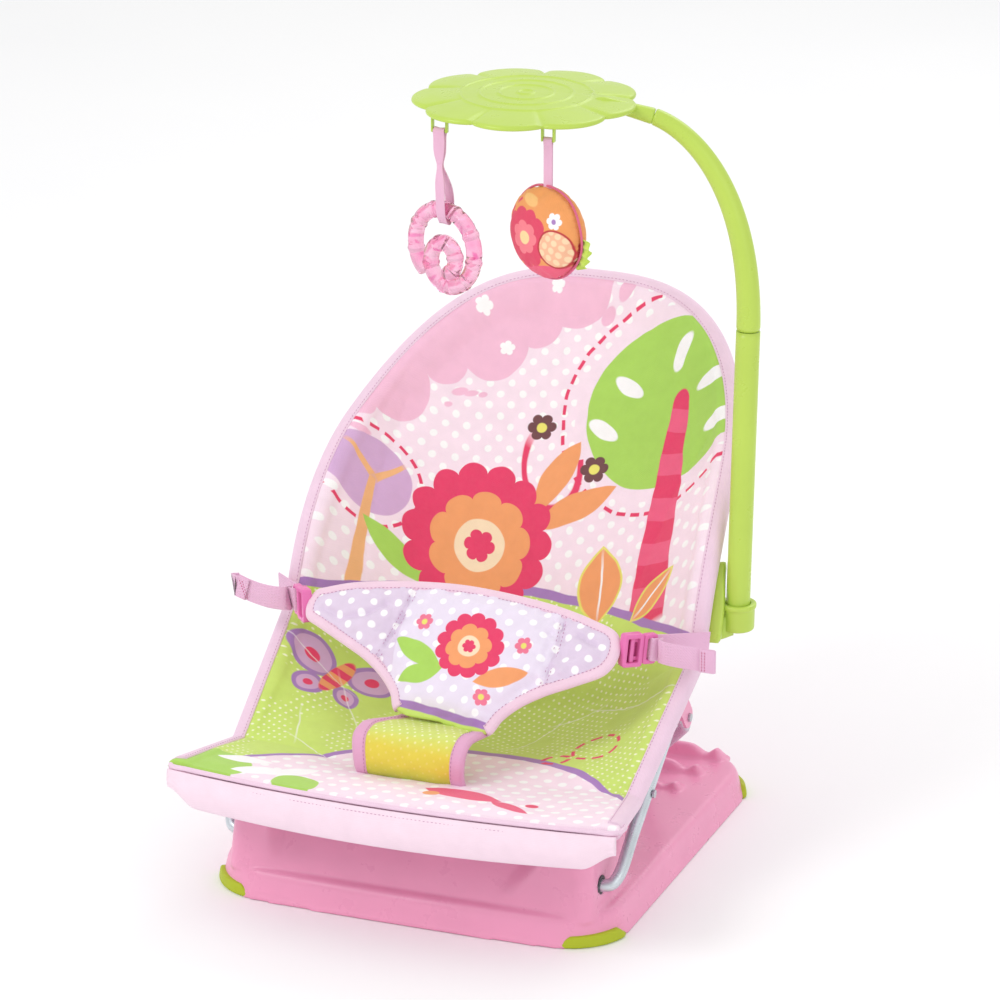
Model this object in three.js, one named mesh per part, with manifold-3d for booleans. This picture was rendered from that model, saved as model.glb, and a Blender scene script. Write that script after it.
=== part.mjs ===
// Bouncer seat: a fabric hammock on a bent steel tube frame that stands in a moulded tray base,
// with a lift-off toy bar, a lap restraint and a kickstand. Millimetres, +X to the sitter's left,
// +Y to the back, +Z up. The origin is under the middle of the seat's bounding box, on the floor.
import * as THREE from 'three';
import { mergeVertices } from 'three/addons/utils/BufferGeometryUtils.js';
import Module from 'manifold-3d';

const wasm = await Module();
wasm.setup();

// ---- driving dimensions -------------------------------------------------------------------
const GAP = 0.3;                 // air between neighbouring pieces
const CENTRE_Y = 27;             // middle of the whole seat, measured from the base's own origin
const WALL = 3;                  // moulded base wall

const TUBE_R = 6.35;             // half-inch steel tube
const TUBE_WALL = 1.2;
const TUBE_SIDES = 8;
const STEPS = { side: 38, arch: 28, rail: 42, kickstand: 44, toy: 16 };

const BASE = { halfWidth: 215, front: -225, back: 240, corner: 62, height: 30, draft: 11 };
const BLOCK = { halfWidth: 193, front: -214, back: -95, top: 105, lean: 6, corner: 16 };
const SIDE_TOP = 24;             // height of the tray's tall side before its shoulder
const SIDE_INSET = 7;
const RIB_FRONTS = [112, 159, 203];      // front faces of the three kickstand ribs
const RIB_HALF_WIDTHS = [172, 179, 186];
const RIB_HEIGHTS = [11, 13, 15];
const SCOOP = { half: 150, depth: 34, height: 62, floor: 6 };    // hollow in the block's front
const TRAY_BOW = 8;                      // how far the tray's front edge bows forward

const RIVET_HOLE = 2.8;
const RIVET_RADIUS = 2.5;
const TUBE_CLEARANCE = 0.45;     // air between a tube and the sleeve round it
const PIVOT = new THREE.Vector3(205, -180, 52);      // right seat pivot
const LEG_SLOPE = 39.5;                              // degrees, straight part of the side tube
const LEG_LENGTH = 253;                              // pivot to the strap bend
const BACK_LENGTH = 444;                             // strap bend to the top of the arch
const EDGE_HALF_WIDTH = 226;                         // outer edge of the fabric at the bend
const EDGE_INSET = 13.5;                             // fabric edge to tube centre
const ARCH_POWER = 2.7;                              // superellipse power of the rounded back
const SIDE_TUBE_END = 400;                           // distance from the pivot to the tube joint

const LIP = { y: -283, z: 145, halfWidth: 236, cornerY: -254, cornerZ: 142 };
const HEM_BOTTOM = 105;
const RAIL = { z: 126, armZ: 118, armY: -98, armX: 193.5, behindHem: 7.4 };

const KICK_PIN = new THREE.Vector3(208, -4, 165);
const KICK_FOOT = { halfWidth: 112, y: 148.5, z: 36.8 };

const POST = { x: 243, y: 70, z: 241, lean: 3.5, radius: 12, wall: 2.5, seam: 543, tip: 8.5 };
const SOCKET = { radius: 17, below: 4, above: 23 };
const FLOWER = { x: 19, y: 62, z: 757, radius: 112, thickness: 9, petals: 9, notch: 11,
  rings: [27, 46, 65] };
const BATTERY = { x: 38, radius: 9, from: -17, to: 14 };
const MOTOR_RADIUS = 12;
const EYE = { z: 747, pin: 1.2, loop: 2.8, gap: 0.5 };   // where a toy's ribbon hangs from
const TEETHER = { x: -38, y: -22, ribbon: 75, ribbonWidth: 12, radius: 40, tube: 8.5,
  turn: -23 };
const PLUSH = { x: 72, y: -16, ribbon: 50, ribbonWidth: 9, radius: 50, thickness: 44, turn: -30 };

const PAD = { lip: 2.6, inner: 14, floor: 2.4, height: 12, span: 70 };
const DOOR = { width: 92, height: 34, z: 62 };
const SWITCH = { y: -132, z: 66, slot: 26, travel: 6 };
const CORNERS = [[-1, -1], [1, -1], [-1, 1], [1, 1]];

const UNIT = { y: -150, z: 64, width: 108, depth: 62, height: 44 };
const BRACKET_DISTANCE = 208;            // from the pivot along the leg
const BRACKET = { half: 11, width: 21.4 };
const CLAMP_ANGLE = 4;
const COVER_COLUMNS = 12;
const LAP = { y: -38, z: 262, half: 158, end: 34, band: 62, length: 122, neck: 44, thickness: 14, dip: 8,
  crown: 14 };
const BUCKLE = { at: new THREE.Vector3(178, -48, 248), to: new THREE.Vector3(230, 14, 239) };
const STRAP = { width: 24, run: 84, tailStart: 205, tailLeft: 253, tailRight: 258 };

const COLOUR = {
  pink: 0xe88cb2, lime: 0xa8b21e, green: 0xb4d650, steel: 0xc4ccd4, hem: 0xf4d4e4, field: 0xc8e070,
  print: 0xf2b8d2, pad: 0xdccde4, webbing: 0xe1a5cd, buckle: 0xe16eaf, teether: 0xf07fb8,
  plush: 0xd8483f, zinc: 0xb9bcc0, dark: 0x4a4a50, brass: 0xc9a45a,
};

const seat = new THREE.Group();
seat.position.y = -CENTRE_Y;

// ---- helpers ------------------------------------------------------------------------------
const degrees = THREE.MathUtils.degToRad;
const X_AXIS = new THREE.Vector3(1, 0, 0);
const Y_AXIS = new THREE.Vector3(0, 1, 0);
const Z_AXIS = new THREE.Vector3(0, 0, 1);
const vec = (x, y, z) => new THREE.Vector3(x, y, z);
const mirrored = (v, side) => vec(v.x * side, v.y, v.z);

// One named piece with its own material.
function piece(name, geometry, colour, roughness = 0.5, metalness = 0) {
  const material = new THREE.MeshStandardMaterial({ color: colour, roughness, metalness });
  const mesh = new THREE.Mesh(geometry, material);
  mesh.name = name;
  seat.add(mesh);
  return mesh;
}

// A closed three.js mesh as a solid that can be joined and cut.
function solid(geometry) {
  const bare = geometry.clone();
  bare.deleteAttribute('normal');
  bare.deleteAttribute('uv');
  const merged = mergeVertices(bare, 1e-4);
  return new wasm.Manifold(new wasm.Mesh({
    numProp: 3,
    vertProperties: Float32Array.from(merged.attributes.position.array),
    triVerts: Uint32Array.from(merged.index.array),
  }));
}

function geometryOf(body) {
  const mesh = body.getMesh();
  const geometry = new THREE.BufferGeometry();
  geometry.setAttribute('position', new THREE.BufferAttribute(mesh.vertProperties, 3));
  geometry.setIndex(new THREE.BufferAttribute(mesh.triVerts, 1));
  geometry.computeVertexNormals();
  return geometry;
}

const cut = (body, ...tools) => tools.reduce((result, tool) => result.subtract(tool), body);
const join = (first, ...rest) => rest.reduce((result, other) => result.add(other), first);

const block = (size, centre) => new THREE.BoxGeometry(size.x, size.y, size.z)
  .translate(centre.x, centre.y, centre.z);

// A cylinder from one point to another.
function rod(from, to, radius, sides = 16) {
  const span = to.clone().sub(from);
  const geometry = new THREE.CylinderGeometry(radius, radius, span.length(), sides);
  const turn = new THREE.Quaternion().setFromUnitVectors(Y_AXIS, span.clone().normalize());
  const middle = from.clone().add(to).multiplyScalar(0.5);
  return geometry.applyQuaternion(turn).translate(middle.x, middle.y, middle.z);
}

function circle(radius, sides) {
  const shape = new THREE.Shape();
  for (let i = 0; i < sides; i += 1) {
    const angle = (2 * Math.PI * i) / sides;
    const point = [radius * Math.cos(angle), radius * Math.sin(angle)];
    if (i === 0) shape.moveTo(...point);
    else shape.lineTo(...point);
  }
  shape.closePath();
  return shape;
}

// A tube along a curve, hollow when it has a wall.
function tube(path, radius, wall, steps, sides = TUBE_SIDES) {
  const section = circle(radius, sides);
  if (wall) section.holes.push(circle(radius - wall, sides));
  return new THREE.ExtrudeGeometry(section, { extrudePath: path, steps, curveSegments: 1 });
}

// A path of straight runs joined by rounded bends.
function bentPath(points, bendRadius) {
  const path = new THREE.CurvePath();
  let start = points[0];
  for (let i = 1; i < points.length - 1; i += 1) {
    const before = points[i].clone().sub(points[i - 1]).normalize();
    const after = points[i + 1].clone().sub(points[i]).normalize();
    const bendIn = points[i].clone().addScaledVector(before, -bendRadius);
    const bendOut = points[i].clone().addScaledVector(after, bendRadius);
    path.add(new THREE.LineCurve3(start, bendIn));
    path.add(new THREE.QuadraticBezierCurve3(bendIn, points[i], bendOut));
    start = bendOut;
  }
  path.add(new THREE.LineCurve3(start, points[points.length - 1]));
  return path;
}

function roundedRectangle(halfX, low, high, radius) {
  const shape = new THREE.Shape();
  shape.moveTo(-halfX + radius, low);
  shape.lineTo(halfX - radius, low);
  shape.absarc(halfX - radius, low + radius, radius, -Math.PI / 2, 0);
  shape.lineTo(halfX, high - radius);
  shape.absarc(halfX - radius, high - radius, radius, 0, Math.PI / 2);
  shape.lineTo(-halfX + radius, high);
  shape.absarc(-halfX + radius, high - radius, radius, Math.PI / 2, Math.PI);
  shape.lineTo(-halfX, low + radius);
  shape.absarc(-halfX + radius, low + radius, radius, Math.PI, 1.5 * Math.PI);
  return shape;
}

// A closed solid lofted through rings of the same number of points, with flat ends.
function loft(rings) {
  const count = rings[0].length;
  const positions = rings.flat().flatMap((p) => [p.x, p.y, p.z]);
  const index = [];
  for (let r = 0; r < rings.length - 1; r += 1) {
    for (let i = 0; i < count; i += 1) {
      const a = r * count + i;
      const b = r * count + ((i + 1) % count);
      index.push(a, b, b + count, a, b + count, a + count);
    }
  }
  const last = (rings.length - 1) * count;
  const addCentre = (ring) => {
    const centre = ring.reduce((sum, p) => sum.add(p), vec(0, 0, 0)).divideScalar(count);
    positions.push(centre.x, centre.y, centre.z);
    return positions.length / 3 - 1;
  };
  const bottom = addCentre(rings[0]);
  const top = addCentre(rings[rings.length - 1]);
  for (let i = 0; i < count; i += 1) {
    const next = (i + 1) % count;
    index.push(bottom, next, i);
    index.push(top, last + i, last + next);
  }
  const geometry = new THREE.BufferGeometry();
  geometry.setAttribute('position', new THREE.Float32BufferAttribute(positions, 3));
  geometry.setIndex(index);
  geometry.computeVertexNormals();
  return geometry;
}

// The slab between two grids of points, closed along its four edges.
function slab(upper, lower) {
  const rows = upper.length;
  const columns = upper[0].length;
  const positions = [upper, lower].flat(2).flatMap((p) => [p.x, p.y, p.z]);
  const at = (layer, r, c) => layer * rows * columns + r * columns + c;
  const index = [];
  const quad = (a, b, c, d) => index.push(a, b, c, a, c, d);
  for (let r = 0; r < rows - 1; r += 1) {
    for (let c = 0; c < columns - 1; c += 1) {
      quad(at(0, r, c), at(0, r, c + 1), at(0, r + 1, c + 1), at(0, r + 1, c));
      quad(at(1, r, c), at(1, r + 1, c), at(1, r + 1, c + 1), at(1, r, c + 1));
    }
  }
  for (let c = 0; c < columns - 1; c += 1) {
    quad(at(1, 0, c), at(1, 0, c + 1), at(0, 0, c + 1), at(0, 0, c));
    quad(at(0, rows - 1, c), at(0, rows - 1, c + 1), at(1, rows - 1, c + 1), at(1, rows - 1, c));
  }
  for (let r = 0; r < rows - 1; r += 1) {
    quad(at(0, r, 0), at(0, r + 1, 0), at(1, r + 1, 0), at(1, r, 0));
    quad(at(1, r, columns - 1), at(1, r + 1, columns - 1), at(0, r + 1, columns - 1),
      at(0, r, columns - 1));
  }
  const geometry = new THREE.BufferGeometry();
  geometry.setAttribute('position', new THREE.Float32BufferAttribute(positions, 3));
  geometry.setIndex(index);
  geometry.computeVertexNormals();
  return geometry;
}

// ---- the side line of the frame -----------------------------------------------------------
// Slope of the side tube, in degrees, against the distance from the seat pivot.
const SLOPES = [[0, LEG_SLOPE], [236, LEG_SLOPE], [276, 69], [475, 28.5], [697, 40]];
const STEP = 4;

function slopeAt(distance) {
  let k = 1;
  while (k < SLOPES.length - 1 && distance > SLOPES[k][0]) k += 1;
  const [d0, s0] = SLOPES[k - 1];
  const [d1, s1] = SLOPES[k];
  return s0 + ((s1 - s0) * (distance - d0)) / (d1 - d0);
}

const sideLine = [vec(0, PIVOT.y, PIVOT.z)];
for (let d = STEP / 2; d < LEG_LENGTH + BACK_LENGTH + STEP; d += STEP) {
  const slope = degrees(slopeAt(d));
  const last = sideLine[sideLine.length - 1];
  sideLine.push(vec(0, last.y + STEP * Math.cos(slope), last.z + STEP * Math.sin(slope)));
}

function sideAt(distance) {
  const k = Math.min(Math.floor(distance / STEP), sideLine.length - 2);
  return sideLine[k].clone().lerp(sideLine[k + 1], distance / STEP - k);
}

// Half-width of the arch and how far up the back it is, at an angle from 0 (bend) to 90 (top).
function archAt(angle, inset) {
  const power = 2 / ARCH_POWER;
  const across = (EDGE_HALF_WIDTH - inset) * Math.cos(degrees(angle)) ** power;
  const along = (BACK_LENGTH - inset) * Math.sin(degrees(angle)) ** power;
  return { across, along };
}

function archPoint(angle, side) {
  const { across, along } = archAt(angle, EDGE_INSET);
  const point = sideAt(LEG_LENGTH + along);
  point.x = side * across;
  return point;
}

// Tube centre line below the bend: it leans out from the pivot to the bend.
function legPoint(distance, side) {
  const share = distance / LEG_LENGTH;
  const point = sideAt(distance);
  point.x = side * (PIVOT.x + share * (EDGE_HALF_WIDTH - EDGE_INSET - PIVOT.x));
  return point;
}

const archJoint = (() => {
  let angle = 0;
  while (archAt(angle, EDGE_INSET).along < SIDE_TUBE_END - LEG_LENGTH) angle += 0.1;
  return angle;
})();

function sideTubePath(side) {
  const points = [176, 185, 193].map((x) => vec(side * x, PIVOT.y, PIVOT.z));
  points.push(vec(side * 200.5, PIVOT.y + 2, PIVOT.z + 1.6), legPoint(13, side));
  for (let d = 60; d < LEG_LENGTH; d += 45) points.push(legPoint(d, side));
  for (let a = 6; a < archJoint - 4; a += 7) points.push(archPoint(a, side));
  points.push(archPoint(archJoint, side));
  return new THREE.CatmullRomCurve3(points, false, 'centripetal');
}

function archTubePath() {
  const points = [];
  const start = archJoint + 0.15;
  const count = 14;
  for (let i = 0; i <= count; i += 1) {
    points.push(archPoint(start + ((90 - start) * i) / count, -1));
  }
  for (let i = count - 1; i >= 0; i -= 1) {
    points.push(archPoint(start + ((90 - start) * i) / count, 1));
  }
  return new THREE.CatmullRomCurve3(points, false, 'centripetal');
}

// The back face of the hanging hem: it bows forward in the middle.
function hemY(x) {
  return LIP.cornerY - 4 + (LIP.y - LIP.cornerY) * (1 - (x / LIP.halfWidth) ** 2);
}

// The front rail follows the hem, then turns back along each side to its rivet.
function railPath() {
  const half = [vec(RAIL.armX, RAIL.armY + 8, RAIL.armZ + 2), vec(RAIL.armX, -150, RAIL.armZ),
    vec(200, -198, RAIL.armZ + 0.5), vec(207, -230, RAIL.z - 3)];
  for (const x of [196, 160, 90]) half.push(vec(x, hemY(x) + RAIL.behindHem, RAIL.z));
  const middle = vec(0, hemY(0) + RAIL.behindHem, RAIL.z);
  const points = [...half.map((p) => mirrored(p, -1)), middle, ...half.reverse()];
  return new THREE.CatmullRomCurve3(points, false, 'centripetal');
}

// ---- base ---------------------------------------------------------------------------------
function trayRing(z, inset) {
  const half = BASE.halfWidth - inset;
  const shape = roundedRectangle(half, BASE.front + inset, BASE.back - inset, BASE.corner - inset);
  return shape.getPoints(5).slice(0, -1).map((p) => {
    const forward = Math.max(0, -p.y / -BASE.front);
    const bowed = p.y < 0 ? TRAY_BOW * forward * (1 - (p.x / half) ** 2) : 0;
    return vec(p.x, p.y - bowed, z);
  });
}

function blockRing(z, inset) {
  const rise = (z - BASE.height) / (BLOCK.top - BASE.height);
  const half = BLOCK.halfWidth - BLOCK.lean * rise - inset;
  const front = BLOCK.front + BLOCK.lean * rise + inset;
  const shape = roundedRectangle(half, front, BLOCK.back - inset, BLOCK.corner);
  return shape.getPoints(3).slice(0, -1).map((p) => vec(p.x, p.y, z));
}

// The shallow scoop in the block's front face, as a flat-topped hump cut from it.
function frontScoop(inset) {
  const shape = new THREE.Shape();
  const half = SCOOP.half - inset;
  shape.moveTo(-half, BLOCK.front - 30);
  shape.lineTo(-half, BLOCK.front - 2);
  shape.quadraticCurveTo(0, BLOCK.front + SCOOP.depth - inset, half, BLOCK.front - 2);
  shape.lineTo(half, BLOCK.front - 30);
  const depth = SCOOP.height - inset;
  return new THREE.ExtrudeGeometry(shape, { depth, bevelEnabled: false, curveSegments: 8 })
    .translate(0, 0, BASE.height + SCOOP.floor + inset / 2);
}

// A rib across the tray: a steep front face, a rounded crest and a long back slope.
function rib(i) {
  const front = RIB_FRONTS[i];
  const height = RIB_HEIGHTS[i];
  const floor = BASE.height - 1;
  const shape = new THREE.Shape();
  shape.moveTo(front, floor);
  shape.lineTo(front + 4.5, BASE.height + height);
  shape.lineTo(front + 8, BASE.height + height);
  shape.quadraticCurveTo(front + 16, BASE.height + height - 2, front + 24, floor);
  const width = 2 * RIB_HALF_WIDTHS[i];
  return new THREE.ExtrudeGeometry(shape, { depth: width, bevelEnabled: false, curveSegments: 4 })
    .applyMatrix4(new THREE.Matrix4().makeBasis(Y_AXIS, Z_AXIS, X_AXIS))
    .translate(-width / 2, 0, 0);
}

// The dip near each end of a rib where the top edge waves down.
function ribDip(i, side) {
  const x = side * (RIB_HALF_WIDTHS[i] - 22);
  const z = BASE.height + RIB_HEIGHTS[i] + 9;
  const y = RIB_FRONTS[i];
  return rod(vec(x, y - 4, z), vec(x, y + 30, z), 13, 14);
}

function baseShell() {
  const tray = solid(loft([trayRing(0, 0), trayRing(SIDE_TOP, SIDE_INSET), trayRing(28, 9),
    trayRing(BASE.height, BASE.draft)]));
  const hump = solid(loft([blockRing(BASE.height - 2, 0), blockRing(BLOCK.top - 5, 0),
    blockRing(BLOCK.top, 5)]));
  let outside = join(tray, cut(hump, solid(frontScoop(0))));
  for (let i = 0; i < RIB_FRONTS.length; i += 1) {
    outside = join(outside, cut(solid(rib(i)), solid(ribDip(i, -1)), solid(ribDip(i, 1))));
  }
  const inside = solid(loft([trayRing(0, WALL), trayRing(SIDE_TOP, SIDE_INSET + WALL),
    trayRing(BASE.height - WALL, BASE.draft + WALL)]));
  const humpInside = cut(solid(loft([blockRing(BASE.height - 5, WALL + 1),
    blockRing(BLOCK.top - WALL - 3, WALL), blockRing(BLOCK.top - WALL, WALL + 4)])),
  solid(frontScoop(-WALL)));
  let shell = cut(outside, join(inside, humpInside));
  for (const side of [-1, 1]) {
    const hole = rod(vec(side * 180, PIVOT.y, PIVOT.z), vec(side * 198, PIVOT.y, PIVOT.z), 10.6, 20);
    shell = cut(shell, solid(hole));
  }
  const battery = block(vec(DOOR.width, 12, DOOR.height), vec(0, BLOCK.back - 1, DOOR.z));
  const switchSlot = block(vec(14, SWITCH.slot, 8), vec(-BLOCK.halfWidth + 3, SWITCH.y, SWITCH.z));
  return cut(shell, solid(battery), solid(switchSlot), ...CORNERS.map((c) => solid(padSeat(c))));
}

// An arc-shaped bar round a tray corner, between two radii and two heights.
function cornerSector([sideX, sideY], inner, outer, low, high, span) {
  const shape = new THREE.Shape();
  const steps = 8;
  const middle = Math.atan2(sideY, sideX);
  const at = (k, radius) => {
    const angle = middle + degrees(span) * (k / steps - 0.5);
    return [radius * Math.cos(angle), radius * Math.sin(angle)];
  };
  shape.moveTo(...at(0, outer));
  for (let k = 1; k <= steps; k += 1) shape.lineTo(...at(k, outer));
  for (let k = steps; k >= 0; k -= 1) shape.lineTo(...at(k, inner));
  const x = sideX * (BASE.halfWidth - BASE.corner);
  const y = sideY > 0 ? BASE.back - BASE.corner : BASE.front + BASE.corner;
  return new THREE.ExtrudeGeometry(shape, { depth: high - low, bevelEnabled: false })
    .translate(x, y, low);
}

function padSeat(corner) {
  const inner = BASE.corner - PAD.inner - GAP;
  const outer = BASE.corner + PAD.lip + 6;
  return cornerSector(corner, inner, outer, -1, PAD.floor + GAP, PAD.span + 1);
}

// A rubber pad that clips over the bottom edge of the tray at one corner.
function cornerPad(corner) {
  const bar = solid(cornerSector(corner, BASE.corner - PAD.inner, BASE.corner + PAD.lip, 0,
    PAD.height, PAD.span));
  const outer = (z) => SIDE_INSET * (z / SIDE_TOP) - GAP;
  const inner = (z) => outer(z) + WALL + 3 * GAP;
  const wallOutside = solid(loft([PAD.floor, SIDE_TOP].map((z) => trayRing(z, outer(z)))));
  const wallInside = solid(loft([0, SIDE_TOP + 2].map((z) => trayRing(z, inner(z)))));
  return cut(bar, cut(wallOutside, wallInside));
}

piece('base_shell', geometryOf(baseShell()), COLOUR.pink, 0.42);
for (const corner of CORNERS) {
  const name = `foot_pad_${corner[1] < 0 ? 'front' : 'rear'}_${corner[0] < 0 ? 'left' : 'right'}`;
  piece(name, geometryOf(cornerPad(corner)), COLOUR.lime, 0.8);
}

// Bushes that line the pivot holes, each with a collar inside the block.
for (const side of [-1, 1]) {
  const label = side < 0 ? 'left' : 'right';
  const sleeve = alongX(side * 183, side * 191.5, PIVOT.y, PIVOT.z, 10.3);
  const collar = alongX(side * 181.5, side * 186, PIVOT.y, PIVOT.z, 13);
  const bore = alongX(side * 170, side * 200, PIVOT.y, PIVOT.z, TUBE_R + 0.6);
  piece(`pivot_bush_${label}`, geometryOf(cut(join(sleeve, collar), bore)), COLOUR.dark, 0.6);
}

// ---- vibration unit inside the block ------------------------------------------------------
function unitHousing() {
  const outer = block(vec(UNIT.width, UNIT.depth, UNIT.height), vec(0, UNIT.y, UNIT.z));
  const inner = block(vec(UNIT.width - 5, UNIT.depth - 5, UNIT.height), vec(0, UNIT.y, UNIT.z - 4));
  const post = rod(vec(0, UNIT.y, UNIT.z + UNIT.height / 2 - 1),
    vec(0, UNIT.y, BLOCK.top - WALL - GAP), 7);
  return join(cut(solid(outer), solid(inner)), solid(post));
}
piece('vibration_housing', geometryOf(unitHousing()), COLOUR.dark, 0.6);
const motor = join(alongX(-8, 22, UNIT.y, UNIT.z, MOTOR_RADIUS), alongX(-18, -7, UNIT.y, UNIT.z, 1.5));
piece('vibration_motor', geometryOf(motor), COLOUR.zinc, 0.35, 0.9);
const weight = cut(alongX(-20, -9, UNIT.y, UNIT.z, 11),
  solid(block(vec(20, 30, 14), vec(-15, UNIT.y, UNIT.z + 9.8))),
  alongX(-25, -5, UNIT.y, UNIT.z, 1.9));
piece('eccentric_weight', geometryOf(weight), COLOUR.brass, 0.35, 0.9);
piece('battery_cell', rod(vec(BATTERY.x, UNIT.y, UNIT.z + BATTERY.from),
  vec(BATTERY.x, UNIT.y, UNIT.z + BATTERY.to), BATTERY.radius),
  COLOUR.zinc, 0.4, 0.6);

function alongY(x, z, from, to, radius) {
  return solid(rod(vec(x, from, z), vec(x, to, z), radius, 14));
}
const DOOR_Y = BLOCK.back - 1.2;
const SCREW_X = 36;
const doorPlate = block(vec(DOOR.width - 2 * GAP, 2.4, DOOR.height - 2 * GAP), vec(0, DOOR_Y, DOOR.z));
const screwHole = alongY(SCREW_X, DOOR.z, DOOR_Y - 4, DOOR_Y + 4, 2.3);
piece('battery_door', geometryOf(cut(solid(doorPlate), screwHole)), COLOUR.pink, 0.45);
const screwHead = alongY(SCREW_X, DOOR.z, DOOR_Y + 1.2 + GAP, DOOR_Y + 3.4, 4);
const screwShank = alongY(SCREW_X, DOOR.z, DOOR_Y - 9, DOOR_Y + 2, 2);
piece('battery_door_screw', geometryOf(join(screwShank, screwHead)), COLOUR.zinc, 0.35, 0.9);

const switchX = -BLOCK.halfWidth + 3;
const switchY = SWITCH.y - SWITCH.travel / 2;
const slider = join(
  solid(block(vec(12, 8, 7), vec(switchX - 1, switchY, SWITCH.z))),
  solid(block(vec(2, 16, 11), vec(switchX + 5.2, switchY, SWITCH.z))),
);
piece('power_switch', geometryOf(slider), COLOUR.green, 0.5);

// ---- steel frame --------------------------------------------------------------------------
function alongX(fromX, toX, y, z, radius) {
  return solid(rod(vec(fromX, y, z), vec(toX, y, z), radius, 16));
}

// A rivet along X with a head at each end.
function rivet(name, side, fromX, toX, y, z, radius) {
  const shank = alongX(side * fromX, side * toX, y, z, radius);
  const inner = alongX(side * (fromX - 2), side * fromX, y, z, radius * 1.7);
  const outer = alongX(side * toX, side * (toX + 2), y, z, radius * 1.7);
  piece(name, geometryOf(join(shank, inner, outer)), COLOUR.zinc, 0.35, 0.9);
}

const railRivet = legPoint((RAIL.armY - PIVOT.y) / Math.cos(degrees(LEG_SLOPE)), 1);
const bracketAt = legPoint(BRACKET_DISTANCE, 1);
const clampAt = archPoint(CLAMP_ANGLE, 1);

// The toy bar's socket: a cup beside the frame with an arm that reaches behind the side tube.
const postAxis = vec(0, Math.sin(degrees(POST.lean)), Math.cos(degrees(POST.lean)));
const postFoot = vec(POST.x, POST.y, POST.z);
const postAt = (height) => postFoot.clone().addScaledVector(postAxis, height);

// The screw runs through the arm and the cover into the tube, square to the tube.
const clampSlope = degrees(slopeAt(LEG_LENGTH + archAt(CLAMP_ANGLE, EDGE_INSET).along));
const clampNormal = vec(0, Math.sin(clampSlope), -Math.cos(clampSlope));
const clampPoint = (depth) => clampAt.clone().addScaledVector(clampNormal, depth);

function sideTube(side) {
  let body = solid(tube(sideTubePath(side), TUBE_R, TUBE_WALL, STEPS.side));
  body = cut(body,
    alongX(side * 190, side * 222, railRivet.y, railRivet.z, RIVET_HOLE),
    alongX(side * 190, side * 230, bracketAt.y, bracketAt.z, RIVET_HOLE));
  if (side > 0) body = cut(body, solid(rod(clampPoint(0), clampPoint(30), RIVET_HOLE)));
  return body;
}

// A short bar across the joint between a side tube and the arch tube.
function tubePlug(side, reach, radius) {
  return rod(archPoint(archJoint - reach, side), archPoint(archJoint + reach, side), radius, 10);
}

for (const side of [-1, 1]) {
  const label = side < 0 ? 'left' : 'right';
  piece(`side_tube_${label}`, geometryOf(sideTube(side)), COLOUR.steel, 0.35, 0.7);
  const head = alongX(side * 169, side * 175.6, PIVOT.y, PIVOT.z, 9);
  const shank = alongX(side * 175, side * 181, PIVOT.y, PIVOT.z, TUBE_R - TUBE_WALL - 0.6);
  piece(`pivot_cap_${label}`, geometryOf(join(head, shank)), COLOUR.dark, 0.6);
  piece(`tube_plug_${label}`, tubePlug(side, 2, 3.6), COLOUR.zinc, 0.4, 0.8);
}
piece('arch_tube', geometryOf(solid(tube(archTubePath(), TUBE_R, TUBE_WALL, STEPS.arch))), COLOUR.steel,
  0.35, 0.7);

function frontRail() {
  const hollow = solid(tube(railPath(), TUBE_R, TUBE_WALL, STEPS.rail));
  return cut(hollow, ...[-1, 1].map((side) => (
    alongX(side * 180, side * 222, railRivet.y, railRivet.z, RIVET_HOLE))));
}
piece('front_rail', geometryOf(frontRail()), COLOUR.steel, 0.35, 0.7);
for (const side of [-1, 1]) {
  const label = side < 0 ? 'left' : 'right';
  rivet(`rail_rivet_${label}`, side, RAIL.armX - TUBE_R - GAP, railRivet.x + TUBE_R + GAP,
    railRivet.y, railRivet.z, RIVET_RADIUS);
}

// ---- kickstand ----------------------------------------------------------------------------
function kickstandPath() {
  const top = (side) => mirrored(KICK_PIN, side).add(vec(0, -6, 5));
  const below = (side) => vec(side * KICK_PIN.x, KICK_PIN.y + 22, KICK_PIN.z - 18.5);
  const foot = (side) => vec(side * KICK_FOOT.halfWidth, KICK_FOOT.y, KICK_FOOT.z);
  return bentPath([top(-1), below(-1), foot(-1), foot(1), below(1), top(1)], 13);
}

function kickstandTube() {
  const hollow = solid(tube(kickstandPath(), TUBE_R, TUBE_WALL, STEPS.kickstand));
  return cut(hollow, ...[-1, 1].map((side) => (
    alongX(side * 195, side * 222, KICK_PIN.y, KICK_PIN.z, RIVET_HOLE))));
}
piece('kickstand_tube', geometryOf(kickstandTube()), COLOUR.steel, 0.35, 0.7);

// The outline of the clevis under the side tube, grown by a margin.
function bracketEnvelope(side, grow) {
  const tangent = vec(0, Math.cos(degrees(LEG_SLOPE)), Math.sin(degrees(LEG_SLOPE)));
  const down = vec(0, tangent.z, -tangent.y);
  const pin = KICK_PIN.clone().sub(bracketAt);
  const along = pin.dot(tangent);
  const below = pin.dot(down);
  const half = BRACKET.half + grow;
  const shape = new THREE.Shape();
  shape.moveTo(-half, -grow);
  shape.lineTo(half, -grow);
  shape.lineTo(along + half, below);
  shape.absarc(along, below, half, 0, Math.PI, false);
  const width = BRACKET.width + 2 * grow;
  const matrix = new THREE.Matrix4().makeBasis(tangent, down, X_AXIS.clone().negate());
  return new THREE.ExtrudeGeometry(shape, { depth: width, bevelEnabled: false, curveSegments: 6 })
    .applyMatrix4(matrix)
    .translate(side * KICK_PIN.x + width / 2, bracketAt.y, bracketAt.z);
}

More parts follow.
